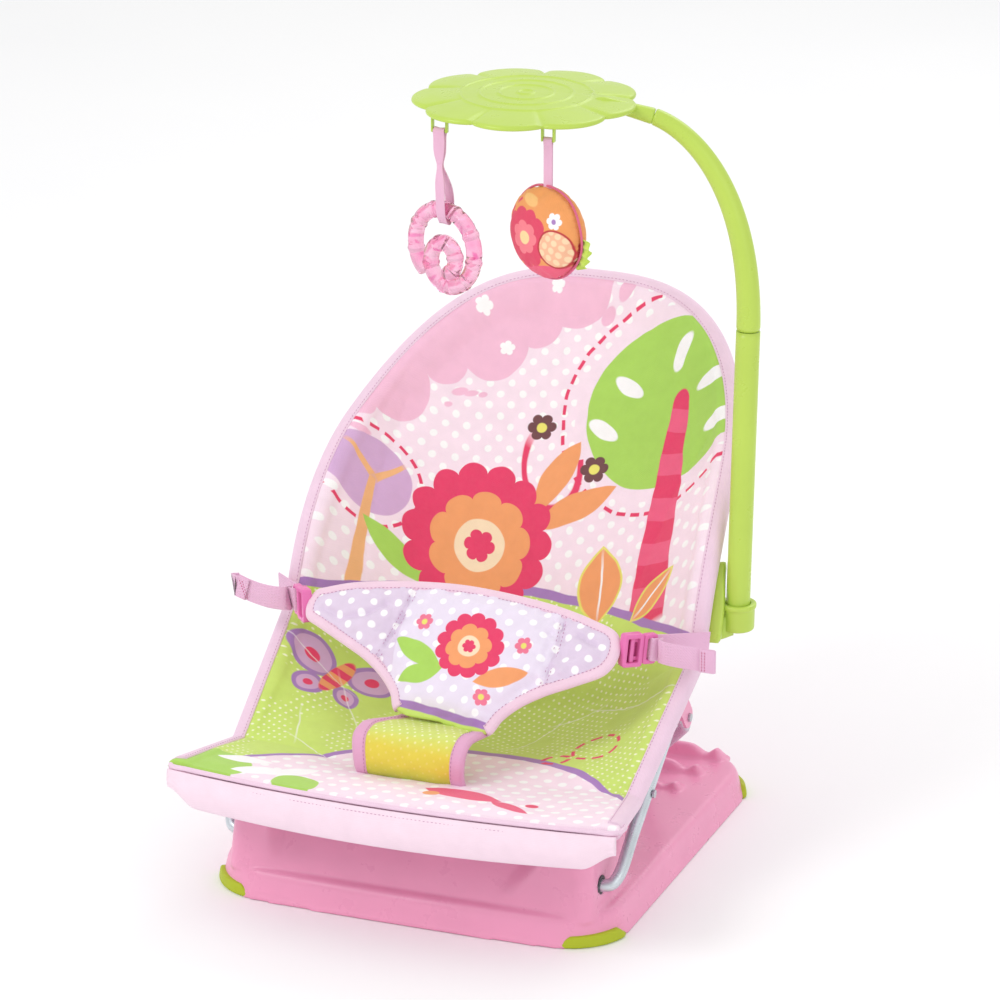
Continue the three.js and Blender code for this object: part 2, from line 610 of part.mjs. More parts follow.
function kickstandBracket(side) {
  const slot = new THREE.BoxGeometry(16, 70, 34)
    .applyMatrix4(new THREE.Matrix4().makeRotationX(degrees(LEG_SLOPE)))
    .translate(side * KICK_PIN.x, KICK_PIN.y, KICK_PIN.z - 8);
  return cut(solid(bracketEnvelope(side, 0)),
    solid(tube(sideTubePath(side), TUBE_R + 0.4, 0, STEPS.side)), solid(slot),
    alongX(side * 190, side * 226, KICK_PIN.y, KICK_PIN.z, RIVET_HOLE));
}
for (const side of [-1, 1]) {
  const label = side < 0 ? 'left' : 'right';
  piece(`kickstand_bracket_${label}`, geometryOf(kickstandBracket(side)), COLOUR.pink, 0.45);
  rivet(`kickstand_pin_${label}`, side, KICK_PIN.x - BRACKET.width / 2 - GAP,
    KICK_PIN.x + BRACKET.width / 2 + GAP, KICK_PIN.y, KICK_PIN.z, RIVET_RADIUS);
}

// ---- fabric cover -------------------------------------------------------------------------
// The middle line of the hammock, from the lip over the seat and up the back to the top.
const middleLine = new THREE.CatmullRomCurve3([
  vec(0, LIP.y, LIP.z + 2), vec(0, -186, 130), vec(0, -60, 114), vec(0, 22, 112), vec(0, 62, 136),
  vec(0, 105, 200), vec(0, 165, 287), vec(0, 228, 362), vec(0, 290, 437), vec(0, 336, 500),
], false, 'centripetal');
const MIDDLE_CREASE = 0.43;      // where the seat turns into the back on the middle line
const SAG_POWER = 2.6;

// Edge of the cover at a share of the way: 0 lip, 1 crease, 2 top of the arch.
function coverEdge(share) {
  if (share <= 1) {
    const low = vec(217, -141, 126);
    const corner = vec(LIP.halfWidth, LIP.cornerY, LIP.cornerZ);
    const bend = sideAt(LEG_LENGTH);
    bend.x = EDGE_HALF_WIDTH;
    return share < 0.4 ? corner.lerp(low, share / 0.4) : low.lerp(bend, (share - 0.4) / 0.6);
  }
  const { across, along } = archAt(84.5 * (share - 1), 0);
  const point = sideAt(LEG_LENGTH + along);
  point.x = across;
  return point;
}

function coverMiddle(share) {
  const t = share <= 1 ? MIDDLE_CREASE * share : MIDDLE_CREASE + (1 - MIDDLE_CREASE) * (share - 1);
  return middleLine.getPointAt(t);
}

function coverPoint(u, share) {
  const edge = coverEdge(share);
  const sag = 1 - Math.abs(u) ** SAG_POWER;
  const point = edge.clone().lerp(coverMiddle(share), sag);
  point.x = edge.x * u;
  return point;
}

function coverSlab(from, to, rows, thickness) {
  const grid = (side) => {
    const result = [];
    for (let r = 0; r <= rows; r += 1) {
      const share = from + ((to - from) * r) / rows;
      const row = [];
      for (let c = 0; c <= COVER_COLUMNS; c += 1) {
        const u = (2 * c) / COVER_COLUMNS - 1;
        const step = 0.01;
        const here = coverPoint(u, share);
        const alongBack = coverPoint(u, Math.min(share + step, 2)).sub(
          coverPoint(u, Math.max(share - step, 0)));
        const acrossX = coverPoint(Math.min(u + step, 1), share).sub(
          coverPoint(Math.max(u - step, -1), share));
        const normal = acrossX.cross(alongBack).normalize();
        row.push(here.addScaledVector(normal, (side * thickness(share)) / 2));
      }
      result.push(row);
    }
    return result;
  };
  return slab(grid(1), grid(-1));
}

const coverThickness = (share) => (share < 1 ? 9 + 9 * share ** 2 : 18);

function coverCuts() {
  const tools = [-1, 1].flatMap((side) => [
    solid(tube(sideTubePath(side), TUBE_R + TUBE_CLEARANCE, 0, STEPS.side)),
    solid(bracketEnvelope(side, 3)),
    solid(tubePlug(side, 1, TUBE_R + 0.4)),
  ]);
  tools.push(solid(tube(archTubePath(), TUBE_R + TUBE_CLEARANCE, 0, STEPS.arch)));
  tools.push(solid(tube(railPath(), TUBE_R + TUBE_CLEARANCE, 0, STEPS.rail)));
  tools.push(solid(rod(clampPoint(0), clampPoint(30), 3)));
  tools.push(solid(socketArm(1)), solid(rod(clampPoint(21), clampPoint(60), 7)));
  return tools;
}

// The arm that reaches from the toy bar's socket to the back of the side tube.
function socketArm(grow) {
  const reach = POST.x - clampAt.x + 9;
  const centre = clampPoint(15);
  return new THREE.BoxGeometry(reach + 2 * grow, 12 + 2 * grow, 30 + 2 * grow)
    .applyMatrix4(new THREE.Matrix4().makeRotationX(clampSlope - Math.PI / 2))
    .translate(clampAt.x - 9 + reach / 2, centre.y, centre.z);
}

const cuts = coverCuts();
const seatCover = cut(solid(coverSlab(0, 0.994, 10, coverThickness)), ...cuts);
const backCover = cut(solid(coverSlab(1, 2, 14, coverThickness)), ...cuts);
piece('seat_cover', geometryOf(seatCover), COLOUR.field, 0.9);
piece('back_cover', geometryOf(backCover), COLOUR.print, 0.9);

// The hem that hangs from the lip over the front rail.
function frontHem() {
  const columns = 14;
  const grid = (thickness) => [HEM_BOTTOM, (HEM_BOTTOM + LIP.cornerZ) / 2, LIP.cornerZ - 6].map((z) => {
    const row = [];
    for (let c = 0; c <= columns; c += 1) {
      const u = (2 * c) / columns - 1;
      const x = u * LIP.halfWidth;
      row.push(vec(x, hemY(x) - thickness, z));
    }
    return row;
  });
  return slab(grid(4), grid(0));
}
piece('front_hem', geometryOf(cut(solid(frontHem()), ...cuts)), COLOUR.hem, 0.9);

// ---- toy bar ------------------------------------------------------------------------------
function toySocket() {
  const cup = solid(rod(postAt(-SOCKET.below), postAt(SOCKET.above), SOCKET.radius, 20));
  const bore = solid(rod(postAt(0), postAt(SOCKET.above + 40), POST.radius + 0.4, 20));
  const screw = solid(rod(clampPoint(5), clampPoint(40), 2.6));
  return cut(join(cup, solid(socketArm(0))), bore, screw);
}
piece('toy_bar_socket', geometryOf(toySocket()), COLOUR.green, 0.4);
const clampScrew = join(solid(rod(clampPoint(3), clampPoint(24), 2.2)),
  solid(rod(clampPoint(22.5 + GAP), clampPoint(26), 4.5)));
piece('socket_screw', geometryOf(clampScrew), COLOUR.zinc, 0.35, 0.9);

const seamHeight = (POST.seam - POST.z) / postAxis.z;
const postTube = new THREE.LineCurve3(postAt(0.4), postAt(seamHeight - 0.2));
piece('toy_bar_post', geometryOf(solid(tube(postTube, POST.radius, POST.wall, 1, 18))), COLOUR.green,
  0.38);

// The upper bar sweeps up and over to the flower's arm and gets thinner on the way.
const archStart = postAt(seamHeight + 0.2);
const archEnd = vec(145, 83, 752);
const archCurve = new THREE.CubicBezierCurve3(archStart, archStart.clone().addScaledVector(postAxis, 130),
  vec(190, 90, 737), archEnd);

function taperedTube(curve, steps, sides, radiusAt) {
  const frames = curve.computeFrenetFrames(steps);
  const centres = curve.getSpacedPoints(steps);
  return loft(centres.map((centre, k) => Array.from({ length: sides }, (_, i) => {
    const angle = (2 * Math.PI * i) / sides;
    const radius = radiusAt(k / steps);
    return centre.clone().addScaledVector(frames.normals[k], radius * Math.cos(angle))
      .addScaledVector(frames.binormals[k], radius * Math.sin(angle));
  })));
}
const archRadius = (share) => POST.radius + (POST.tip - POST.radius) * share;
const plugHole = solid(rod(postAt(seamHeight - 5), postAt(seamHeight + 16), POST.radius - POST.wall,
  14));
const toyArch = cut(solid(taperedTube(archCurve, STEPS.toy, 14, archRadius)), plugHole);
piece('toy_bar_arch', geometryOf(toyArch), COLOUR.green, 0.38);
piece('toy_bar_plug', rod(postAt(seamHeight - 20), postAt(seamHeight + 14), POST.radius - POST.wall - 0.6,
  14), COLOUR.green, 0.4);

function flowerOutline(inset) {
  const shape = new THREE.Shape();
  const steps = FLOWER.petals * 6;
  for (let k = 0; k < steps; k += 1) {
    const angle = (2 * Math.PI * k) / steps;
    const petal = Math.abs(Math.cos((angle * FLOWER.petals) / 2));
    const radius = FLOWER.radius - inset - FLOWER.notch * (1 - petal ** 0.7);
    const point = [radius * Math.cos(angle), radius * Math.sin(angle)];
    if (k === 0) shape.moveTo(...point);
    else shape.lineTo(...point);
  }
  shape.closePath();
  return shape;
}

function flower() {
  const disc = new THREE.ExtrudeGeometry(flowerOutline(0), { depth: FLOWER.thickness, bevelEnabled: false })
    .translate(FLOWER.x, FLOWER.y, FLOWER.z - FLOWER.thickness / 2);
  let body = solid(disc);
  for (const radius of FLOWER.rings) {
    const top = FLOWER.z + FLOWER.thickness / 2;
    const ring = new THREE.LatheGeometry([[radius - 4, -1], [radius + 4, -1], [radius + 3, 1.6],
      [radius - 3, 1.6], [radius - 4, -1]].map(([r, h]) => new THREE.Vector2(r, h)), 32)
      .rotateX(Math.PI / 2).translate(FLOWER.x, FLOWER.y, top);
    body = join(body, solid(ring));
  }
  const armRoot = vec(FLOWER.x + 72, FLOWER.y + 8, FLOWER.z + 1);
  const armStart = archEnd.clone().add(vec(-0.4, 0, 0.1));
  body = join(body, solid(rod(armStart, armRoot, POST.tip - 1, 14)));
  const clear = solid(taperedTube(archCurve, STEPS.toy, 14, (share) => archRadius(share) + 0.4));
  const beyond = solid(rod(archEnd.clone().add(vec(3, 0, -1)), archEnd.clone().add(vec(-0.3, 0, 0.1)), 14));
  for (const toy of [TEETHER, PLUSH]) {
    const half = toy.ribbonWidth / 2 + EYE.gap;
    body = join(body, alongX(toy.x - half, toy.x + half, toy.y, EYE.z, EYE.pin));
    for (const side of [-1, 1]) {
      const lug = block(vec(2, 5, 10), vec(toy.x + side * (half + 0.8), toy.y, EYE.z + 2));
      body = join(body, solid(lug));
    }
  }
  return cut(body, clear, beyond);
}
piece('flower_canopy', geometryOf(flower()), COLOUR.green, 0.38);

const ribbonEnd = (toy) => FLOWER.z - FLOWER.thickness / 2 - toy.ribbon;

// A ribbon sewn into a loop round the pin of an eye under the flower.
function ribbon(toy) {
  const half = toy.ribbonWidth / 2;
  const bottom = ribbonEnd(toy);
  const loop = alongX(toy.x - half, toy.x + half, toy.y, EYE.z, EYE.loop);
  const strap = solid(block(vec(toy.ribbonWidth, 1.8, EYE.z - 1.9 - bottom),
    vec(toy.x, toy.y, (EYE.z - 1.9 + bottom) / 2)));
  const bore = alongX(toy.x - half - 1, toy.x + half + 1, toy.y, EYE.z, EYE.pin + 0.4);
  return cut(join(loop, strap), bore);
}
piece('teether_ribbon', geometryOf(ribbon(TEETHER)), COLOUR.webbing, 0.85);
piece('plush_ribbon', geometryOf(ribbon(PLUSH)), COLOUR.webbing, 0.85);

// ---- hanging toys -------------------------------------------------------------------------
function ring(radius, thickness, drop, segments) {
  return new THREE.TorusGeometry(radius, thickness, 8, segments)
    .rotateX(Math.PI / 2)
    .translate(0, 0, -drop)
    .rotateZ(degrees(TEETHER.turn))
    .translate(teetherCentre.x, teetherCentre.y, teetherCentre.z);
}
const teetherCentre = vec(TEETHER.x, TEETHER.y, ribbonEnd(TEETHER) - TEETHER.radius - TEETHER.tube - GAP);
const teether = join(solid(ring(TEETHER.radius, TEETHER.tube, 0, 24)),
  solid(ring(16, 6, TEETHER.radius - 16, 16)));
piece('teether_ring', geometryOf(teether), COLOUR.teether, 0.15);

const plushCentre = vec(PLUSH.x, PLUSH.y, ribbonEnd(PLUSH) - PLUSH.radius - GAP);
function plushDisc() {
  const profile = [];
  const steps = 8;
  for (let k = 0; k <= steps; k += 1) {
    const angle = Math.PI * (k / steps - 0.5);
    const radius = PLUSH.radius * Math.cos(angle) ** 0.8;
    const onAxis = k === 0 || k === steps;
    profile.push(new THREE.Vector2(onAxis ? 0 : radius, (PLUSH.thickness / 2) * Math.sin(angle)));
  }
  return new THREE.LatheGeometry(profile, 24)
    .rotateZ(degrees(PLUSH.turn))
    .translate(plushCentre.x, plushCentre.y, plushCentre.z);
}
piece('plush_disc', plushDisc(), COLOUR.plush, 0.95);

// ---- restraint ----------------------------------------------------------------------------
// The lap pad lies in a plane that slopes down towards the front.
function lapPad() {
  const shape = new THREE.Shape();
  shape.moveTo(-LAP.half, -LAP.dip);
  shape.quadraticCurveTo(0, LAP.crown, LAP.half, -LAP.dip);
  shape.lineTo(LAP.half, -LAP.dip - LAP.end);
  shape.quadraticCurveTo(LAP.neck + 30, -LAP.band - LAP.dip, LAP.neck, -LAP.length);
  shape.lineTo(-LAP.neck, -LAP.length);
  shape.quadraticCurveTo(-LAP.neck - 30, -LAP.band - LAP.dip, -LAP.half, -LAP.dip - LAP.end);
  const down = vec(0, Math.SQRT1_2, Math.SQRT1_2);
  const out = vec(0, -Math.SQRT1_2, Math.SQRT1_2);
  return new THREE.ExtrudeGeometry(shape, { depth: LAP.thickness, bevelEnabled: false, curveSegments: 8 })
    .applyMatrix4(new THREE.Matrix4().makeBasis(X_AXIS, down, out))
    .translate(0, LAP.y, LAP.z);
}
piece('lap_pad', lapPad(), COLOUR.pad, 0.9);

// The crotch strap folds over in front of the pad and goes down to the seat.
function crotchStrap() {
  const outer = [[-133, 183.5], [-150, 180], [-178, 178], [-190, 170], [-194, 158], [-192, 137]];
  const inner = [[-188, 137], [-190, 157], [-186.5, 167.5], [-176, 174], [-149.5, 176], [-130, 180]];
  const shape = new THREE.Shape([...outer, ...inner].map(([y, z]) => new THREE.Vector2(y, z)));
  const width = 2 * LAP.neck;
  return new THREE.ExtrudeGeometry(shape, { depth: width, bevelEnabled: false })
    .applyMatrix4(new THREE.Matrix4().makeBasis(Y_AXIS, Z_AXIS, X_AXIS))
    .translate(-width / 2, 0, 0);
}
piece('crotch_strap', crotchStrap(), COLOUR.field, 0.9);

// Side-release buckles: a socket sewn to the pad and a prong on the side webbing.
const strapAxis = (side) => mirrored(BUCKLE.to, side).sub(mirrored(BUCKLE.at, side)).normalize();

// A flat bar along a side strap, between two distances from the buckle.
function strapBox(side, from, to, width, thickness) {
  const axis = strapAxis(side);
  const wide = vec(0, 0, 1).addScaledVector(axis, -axis.z).normalize();
  const out = axis.clone().cross(wide).multiplyScalar(side);
  const centre = mirrored(BUCKLE.at, side).addScaledVector(axis, (from + to) / 2);
  const frame = side > 0 ? [axis, wide, out] : [axis, wide, out.clone().negate()];
  return solid(new THREE.BoxGeometry(to - from, width, thickness)
    .applyMatrix4(new THREE.Matrix4().makeBasis(...frame))
    .translate(centre.x, centre.y, centre.z));
}

for (const side of [-1, 1]) {
  const label = side < 0 ? 'left' : 'right';
  const shell = cut(strapBox(side, -17, 16, 34, 13), strapBox(side, -10, 18, 27, 6));
  piece(`buckle_socket_${label}`, geometryOf(shell), COLOUR.buckle, 0.35);
  const prong = join(strapBox(side, -8, 30, 12, 4), strapBox(side, 18, 22, 31, 5),
    strapBox(side, 28, 32, 31, 5), strapBox(side, -8, 20, 26, 3));
  piece(`buckle_prong_${label}`, geometryOf(prong), COLOUR.buckle, 0.35);
  piece(`side_webbing_${label}`, geometryOf(strapBox(side, 33, STRAP.run, STRAP.width, 2.4)),
    COLOUR.webbing, 0.85);
  const end = side < 0 ? STRAP.tailLeft : STRAP.tailRight;
  piece(`webbing_tail_${label}`, block(vec(end - STRAP.tailStart, 2.4, STRAP.width),
    vec((side * (end + STRAP.tailStart)) / 2, BUCKLE.at.y + 2, BUCKLE.at.z)), COLOUR.webbing, 0.85);
}

export default seat;
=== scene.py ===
import math

import bmesh
import bpy
import numpy as np
from mathutils import Matrix, Vector, noise


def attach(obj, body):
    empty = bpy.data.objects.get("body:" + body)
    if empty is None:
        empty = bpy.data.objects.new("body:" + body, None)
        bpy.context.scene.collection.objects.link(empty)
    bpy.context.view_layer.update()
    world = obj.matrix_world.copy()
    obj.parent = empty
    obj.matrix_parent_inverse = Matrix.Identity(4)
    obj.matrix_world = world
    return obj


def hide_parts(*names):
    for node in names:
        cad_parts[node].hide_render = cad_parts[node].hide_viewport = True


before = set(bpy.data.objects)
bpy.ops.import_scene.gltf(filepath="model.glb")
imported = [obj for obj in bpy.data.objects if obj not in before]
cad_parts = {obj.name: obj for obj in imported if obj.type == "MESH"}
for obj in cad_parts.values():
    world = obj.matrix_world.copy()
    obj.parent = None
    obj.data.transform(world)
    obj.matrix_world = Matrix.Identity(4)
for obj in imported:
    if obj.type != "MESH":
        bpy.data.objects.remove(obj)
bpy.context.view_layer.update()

# The visual model of the bouncer seat. Points are millimetres in the shared frame until a mesh
# is made from them; at() takes the places of the part's own drawing.

MM = 0.001
CENTRE_Y = 27.0                 # the drawing's zero lies this far in front of the shared frame's
TUBE_RADIUS = 6.35
MIRROR = np.array([-1, 1, 1])   # turns a point of one side into the other side's


def at(x, y, z):
    """A point of the part's own drawing, in the shared frame."""
    return np.array([x, y - CENTRE_Y, z], float)


def unit(v):
    v = np.asarray(v, float)
    return v / np.maximum(np.linalg.norm(v, axis=-1, keepdims=True), 1e-12)


def step(edge0, edge1, x):
    """0 before edge0, 1 after edge1 and a smooth rise between them."""
    t = np.clip((np.asarray(x, float) - edge0) / (edge1 - edge0), 0, 1)
    return t * t * (3 - 2 * t)


# ---- camera, light and floor ---------------------------------------------------------------
VIEW = Vector((-0.3396, 0.8781, -0.3371))
RIGHT = Vector((0.9327, 0.3607, 0.0))
UP = Vector((-0.1216, 0.3143, 0.9415))
AIM = Vector((0.0, -CENTRE_Y * MM, 0.3)) + 0.0149 * RIGHT + 0.0606 * UP
DISTANCE = 5.0
LENS = 180.2
LIGHTS_AIM = Vector((0, 0, 0.3))


def make_camera():
    data = bpy.data.cameras.new("camera")
    data.lens = LENS
    data.sensor_width = 36.0
    data.clip_end = 40.0
    camera = bpy.data.objects.new("camera", data)
    bpy.context.scene.collection.objects.link(camera)
    turn = Matrix((RIGHT, UP, -VIEW)).transposed().to_4x4()
    camera.matrix_world = Matrix.Translation(AIM - VIEW * DISTANCE) @ turn
    bpy.context.scene.camera = camera


def area_light(name, place, size, power):
    data = bpy.data.lights.new(name, "AREA")
    data.shape = "DISK"
    data.size = size
    data.energy = power
    light = bpy.data.objects.new(name, data)
    bpy.context.scene.collection.objects.link(light)
    light.location = place
    aim = LIGHTS_AIM - light.location
    light.rotation_euler = aim.to_track_quat("-Z", "Y").to_euler()


def make_light():
    area_light("key", (-1.5, -2.2, 2.6), 1.6, 30)
    area_light("fill", (2.6, -1.6, 1.5), 2.4, 9)
    area_light("back", (0.4, 2.4, 2.6), 2.0, 20)
    world = bpy.data.worlds.new("world")
    bpy.context.scene.world = world
    world.use_nodes = True
    background = world.node_tree.nodes["Background"]
    background.inputs["Color"].default_value = (1.0, 1.0, 1.0, 1)
    background.inputs["Strength"].default_value = 0.86
    bpy.context.scene.view_settings.view_transform = "Standard"


# ---- materials -----------------------------------------------------------------------------
def srgb(r, g, b):
    """A colour given in 0-255 display values, as linear light."""
    values = []
    for channel in (r, g, b):
        c = channel / 255
        values.append(c / 12.92 if c <= 0.04045 else ((c + 0.055) / 1.055) ** 2.4)
    return (*values, 1.0)


def mixed(a, b, share):
    return tuple(x + (y - x) * share for x, y in zip(a, b))


class Shader:
    """A material's node tree with short calls for the nodes that it needs."""

    def __init__(self, name, roughness=0.5, **settings):
        self.material = bpy.data.materials.new(name)
        self.material.use_nodes = True
        self.tree = self.material.node_tree
        self.base = self.tree.nodes["Principled BSDF"]
        self.base.inputs["Roughness"].default_value = roughness
        for key, value in settings.items():
            self.base.inputs[key.replace("_", " ")].default_value = value

    def node(self, kind, inputs=(), **settings):
        made = self.tree.nodes.new(kind)
        for key, value in settings.items():
            setattr(made, key, value)
        for key, value in dict(inputs).items():
            self.put(made.inputs[key], value)
        return made

    def put(self, socket, value):
        if isinstance(value, bpy.types.NodeSocket):
            self.tree.links.new(value, socket)
        elif value is not None:
            socket.default_value = value

    def math(self, operation, a, b=None, c=None):
        made = self.node("ShaderNodeMath", operation=operation)
        for socket, value in zip(made.inputs, (a, b, c)):
            self.put(socket, value)
        return made.outputs[0]

    def vector(self, operation, a, b=None):
        made = self.node("ShaderNodeVectorMath", operation=operation)
        for socket, value in zip(made.inputs, (a, b)):
            self.put(socket, value)
        return made.outputs["Value" if operation in ("LENGTH", "DOT_PRODUCT") else "Vector"]

    def band(self, value, low, high, start=0.0, end=1.0):
        """value taken from low..high to start..end, and clamped."""
        return self.node("ShaderNodeMapRange", {"Value": value, "From Min": low, "From Max": high,
                                                "To Min": start, "To Max": end}).outputs[0]

    def mix(self, share, a, b):
        made = self.node("ShaderNodeMix", data_type="RGBA")
        for socket, value in zip((made.inputs[0], made.inputs[6], made.inputs[7]), (share, a, b)):
            self.put(socket, value)
        return made.outputs[2]

    def place(self, scale=1000.0):
        """Object coordinates times scale: millimetres by default."""
        made = self.node("ShaderNodeTexCoord")
        return self.vector("MULTIPLY", made.outputs["Object"], (scale, scale, scale))

    def noise(self, vector, scale, detail=3.0, roughness=0.55):
        made = self.node("ShaderNodeTexNoise", {"Vector": vector, "Scale": scale, "Detail": detail,
                                                "Roughness": roughness})
        return made.outputs["Fac"]

    def bump(self, height, strength, distance=0.001, under=None):
        made = self.node("ShaderNodeBump", {"Height": height, "Strength": strength,
                                            "Distance": distance, "Normal": under})
        return made.outputs["Normal"]

    def finish(self, colour=None, roughness=None, normal=None):
        self.put(self.base.inputs["Base Color"], colour)
        self.put(self.base.inputs["Roughness"], roughness)
        self.put(self.base.inputs["Normal"], normal)
        return self.material


def plastic(name, colour, roughness, grain, shade=0.82):
    """Moulded plastic: a faint orange-peel grain, cloudy colour and uneven gloss."""
    s = Shader(name, roughness, IOR=1.47)
    place = s.place()
    cloud = s.band(s.noise(place, 0.012), 0.35, 0.65)
    fine = s.noise(place, 0.3, 2.0)
    dark = mixed((0, 0, 0, 1), colour, shade)
    tint = s.mix(cloud, mixed(dark, colour, 0.72), colour)
    gloss = s.band(s.noise(place, 0.05, 4.0), 0.3, 0.7, roughness - 0.05, roughness + 0.07)
    return s.finish(tint, gloss, s.bump(fine, grain, 0.0006))


def steel(name, colour, roughness=0.3, metallic=0.75):
    """Silver-coated tube: fine flake, faint drawing lines and uneven polish."""
    s = Shader(name, roughness, Metallic=metallic)
    place = s.place()
    flake = s.noise(place, 2.2, 2.0)
    cloud = s.noise(place, 0.03, 3.0)
    tint = s.mix(s.band(cloud, 0.3, 0.7), mixed((0, 0, 0, 1), colour, 0.86), colour)
    gloss = s.band(s.noise(place, 0.2, 3.0), 0.3, 0.7, roughness - 0.06, roughness + 0.1)
    return s.finish(tint, gloss, s.bump(flake, 0.08, 0.0004))


def weave_height(s, pitch):
    """A plain weave: threads that rise and dip in turn, in all three directions of the cloth."""
    place = s.vector("MULTIPLY", s.place(), (math.pi / pitch,) * 3)
    x, y, z = (s.node("ShaderNodeSeparateXYZ", {0: place}).outputs[k] for k in range(3))
    wave = [s.math("SINE", v) for v in (x, y, z)]
    first = s.math("MULTIPLY", wave[0], wave[2])
    return s.math("ADD", first, s.math("MULTIPLY", wave[1], wave[2]))


def cloth(name, colour, pitch=0.8, strength=0.25, roughness=0.85, shade=0.86):
    """Woven fabric in one colour, with thread relief, slightly uneven dye and painted shade in the
    dips between the threads.
    """
    s = Shader(name, roughness, Sheen_Weight=0.25, Sheen_Roughness=0.45)
    place = s.place()
    height = weave_height(s, pitch)
    dye = s.band(s.noise(place, 0.05, 4.0), 0.3, 0.7)
    dark = mixed((0, 0, 0, 1), colour, shade)
    tint = s.mix(dye, mixed(dark, colour, 0.6), colour)
    # painted shade: the colour darkens towards the dark tone where the threads dip
    tint = s.mix(s.band(height, -1.2, 0.2, 0.35, 0.0), tint, dark)
    gloss = s.band(s.noise(place, 0.3, 2.0), 0.3, 0.7, roughness - 0.06, min(roughness + 0.08, 1))
    return s.finish(tint, gloss, s.bump(height, strength, 0.0004))


PINK = srgb(240, 158, 192)
LIME = srgb(176, 190, 28)
GREEN = srgb(188, 214, 88)
SILVER = srgb(214, 222, 228)
DARK = srgb(70, 68, 74)
PALE = srgb(248, 222, 236)
BINDING = srgb(240, 208, 228)
WEBBING = srgb(232, 184, 214)
BUCKLE = srgb(232, 116, 180)
WHITE = srgb(253, 250, 252)
PRINT_PINK = srgb(250, 226, 240)
CLOUD = srgb(245, 190, 216)
CRIMSON = srgb(232, 58, 104)
ORANGE = srgb(244, 160, 104)
BROWN = srgb(112, 66, 70)
PURPLE = srgb(170, 126, 192)
LILAC = srgb(214, 172, 214)
FIELD = srgb(204, 228, 112)
CROWN = srgb(172, 214, 92)
PAD_LILAC = srgb(226, 208, 230)
YELLOW = srgb(236, 226, 110)


# ---- mesh helpers --------------------------------------------------------------------------
def mesh_object(name, points, faces, material):
    """A mesh from points in millimetres."""
    mesh = bpy.data.meshes.new(name)
    mesh.from_pydata((np.asarray(points, float) * MM).tolist(), [], [list(f) for f in faces])
    mesh.validate()
    mesh.update()
    bm = bmesh.new()
    bm.from_mesh(mesh)
    bmesh.ops.recalc_face_normals(bm, faces=bm.faces)
    bm.to_mesh(mesh)
    bm.free()
    mesh.shade_smooth()
    obj = bpy.data.objects.new(name, mesh)
    bpy.context.scene.collection.objects.link(obj)
    if material:
        mesh.materials.append(material)
    return obj


def grid_faces(rows, columns, ring=False, closed=False):
    """Quads of a grid: ring joins its last column to its first, closed its last row."""
    faces = []
    for r in range(rows if closed else rows - 1):
        for c in range(columns if ring else columns - 1):
            d, e = (r + 1) % rows, (c + 1) % columns
            faces.append((r * columns + c, r * columns + e, d * columns + e, d * columns + c))
    return faces


def loft(name, grid, material, closed=False):
    """A skin over rings of points; closed joins the last ring to the first, or both are capped."""
    grid = np.asarray(grid, float)
    rows, columns = grid.shape[:2]
    faces = grid_faces(rows, columns, True, closed)
    if not closed:
        faces.append(tuple(range(columns)))
        faces.append(tuple((rows - 1) * columns + c for c in reversed(range(columns))))
    return mesh_object(name, grid.reshape(-1, 3), faces, material)


def bake(obj, *modifiers):
    """Adds modifiers, given as (kind, settings), and applies them to the mesh."""
    for kind, settings in modifiers:
        modifier = obj.modifiers.new(kind.lower(), kind)
        for key, value in settings.items():
            setattr(modifier, key, value)
    graph = bpy.context.evaluated_depsgraph_get()
    mesh = bpy.data.meshes.new_from_object(obj.evaluated_get(graph))
    old = obj.data
    obj.modifiers.clear()
    obj.data = mesh
    bpy.data.meshes.remove(old)
    return obj


def joined(name, objects):
    """One object from several, keeping their materials."""
    target = objects[0]
    with bpy.context.temp_override(active_object=target, selected_editable_objects=objects):
        bpy.ops.object.join()
    target.name = name
    return target


def dress(piece, material):
    """Gives the whole piece one material."""
    piece.data.materials.clear()
    piece.data.materials.append(material)
    piece.data.shade_smooth()


def lay_print(piece, flat):
    """Lays the print's plane on a piece: the flat place of each of its points, in millimetres."""
    loops = np.zeros(len(piece.data.loops), int)
    piece.data.loops.foreach_get("vertex_index", loops)
    layer = piece.data.uv_layers.new(name="print")
    layer.data.foreach_set("uv", (flat * MM)[loops].ravel())


def mesh_points(obj):
    points = np.zeros(len(obj.data.vertices) * 3)
    obj.data.vertices.foreach_get("co", points)
    return points.reshape(-1, 3) / MM


def set_points(obj, points):
    obj.data.vertices.foreach_set("co", (np.asarray(points) * MM).ravel())
    obj.data.update()


def smooth_path(points, count):
    """count points evenly spaced along a centripetal Catmull-Rom curve."""
    p = np.array(points, float)
    p = np.vstack([2 * p[0] - p[1], p, 2 * p[-1] - p[-2]])
    fine = []
    for i in range(1, len(p) - 2):
        p0, p1, p2, p3 = p[i - 1:i + 3]
        t0 = 0.0
        t1 = t0 + np.linalg.norm(p1 - p0) ** 0.5
        t2 = t1 + np.linalg.norm(p2 - p1) ** 0.5
        t3 = t2 + np.linalg.norm(p3 - p2) ** 0.5
        t = np.linspace(t1, t2, 16, endpoint=False)[:, None]
        a1 = (t1 - t) / (t1 - t0) * p0 + (t - t0) / (t1 - t0) * p1
        a2 = (t2 - t) / (t2 - t1) * p1 + (t - t1) / (t2 - t1) * p2
        a3 = (t3 - t) / (t3 - t2) * p2 + (t - t2) / (t3 - t2) * p3
        b1 = (t2 - t) / (t2 - t0) * a1 + (t - t0) / (t2 - t0) * a2
        b2 = (t3 - t) / (t3 - t1) * a2 + (t - t1) / (t3 - t1) * a3
        fine.append((t2 - t) / (t2 - t1) * b1 + (t - t1) / (t2 - t1) * b2)
    fine.append(p[-2:-1])
    return resample(np.vstack(fine), count)


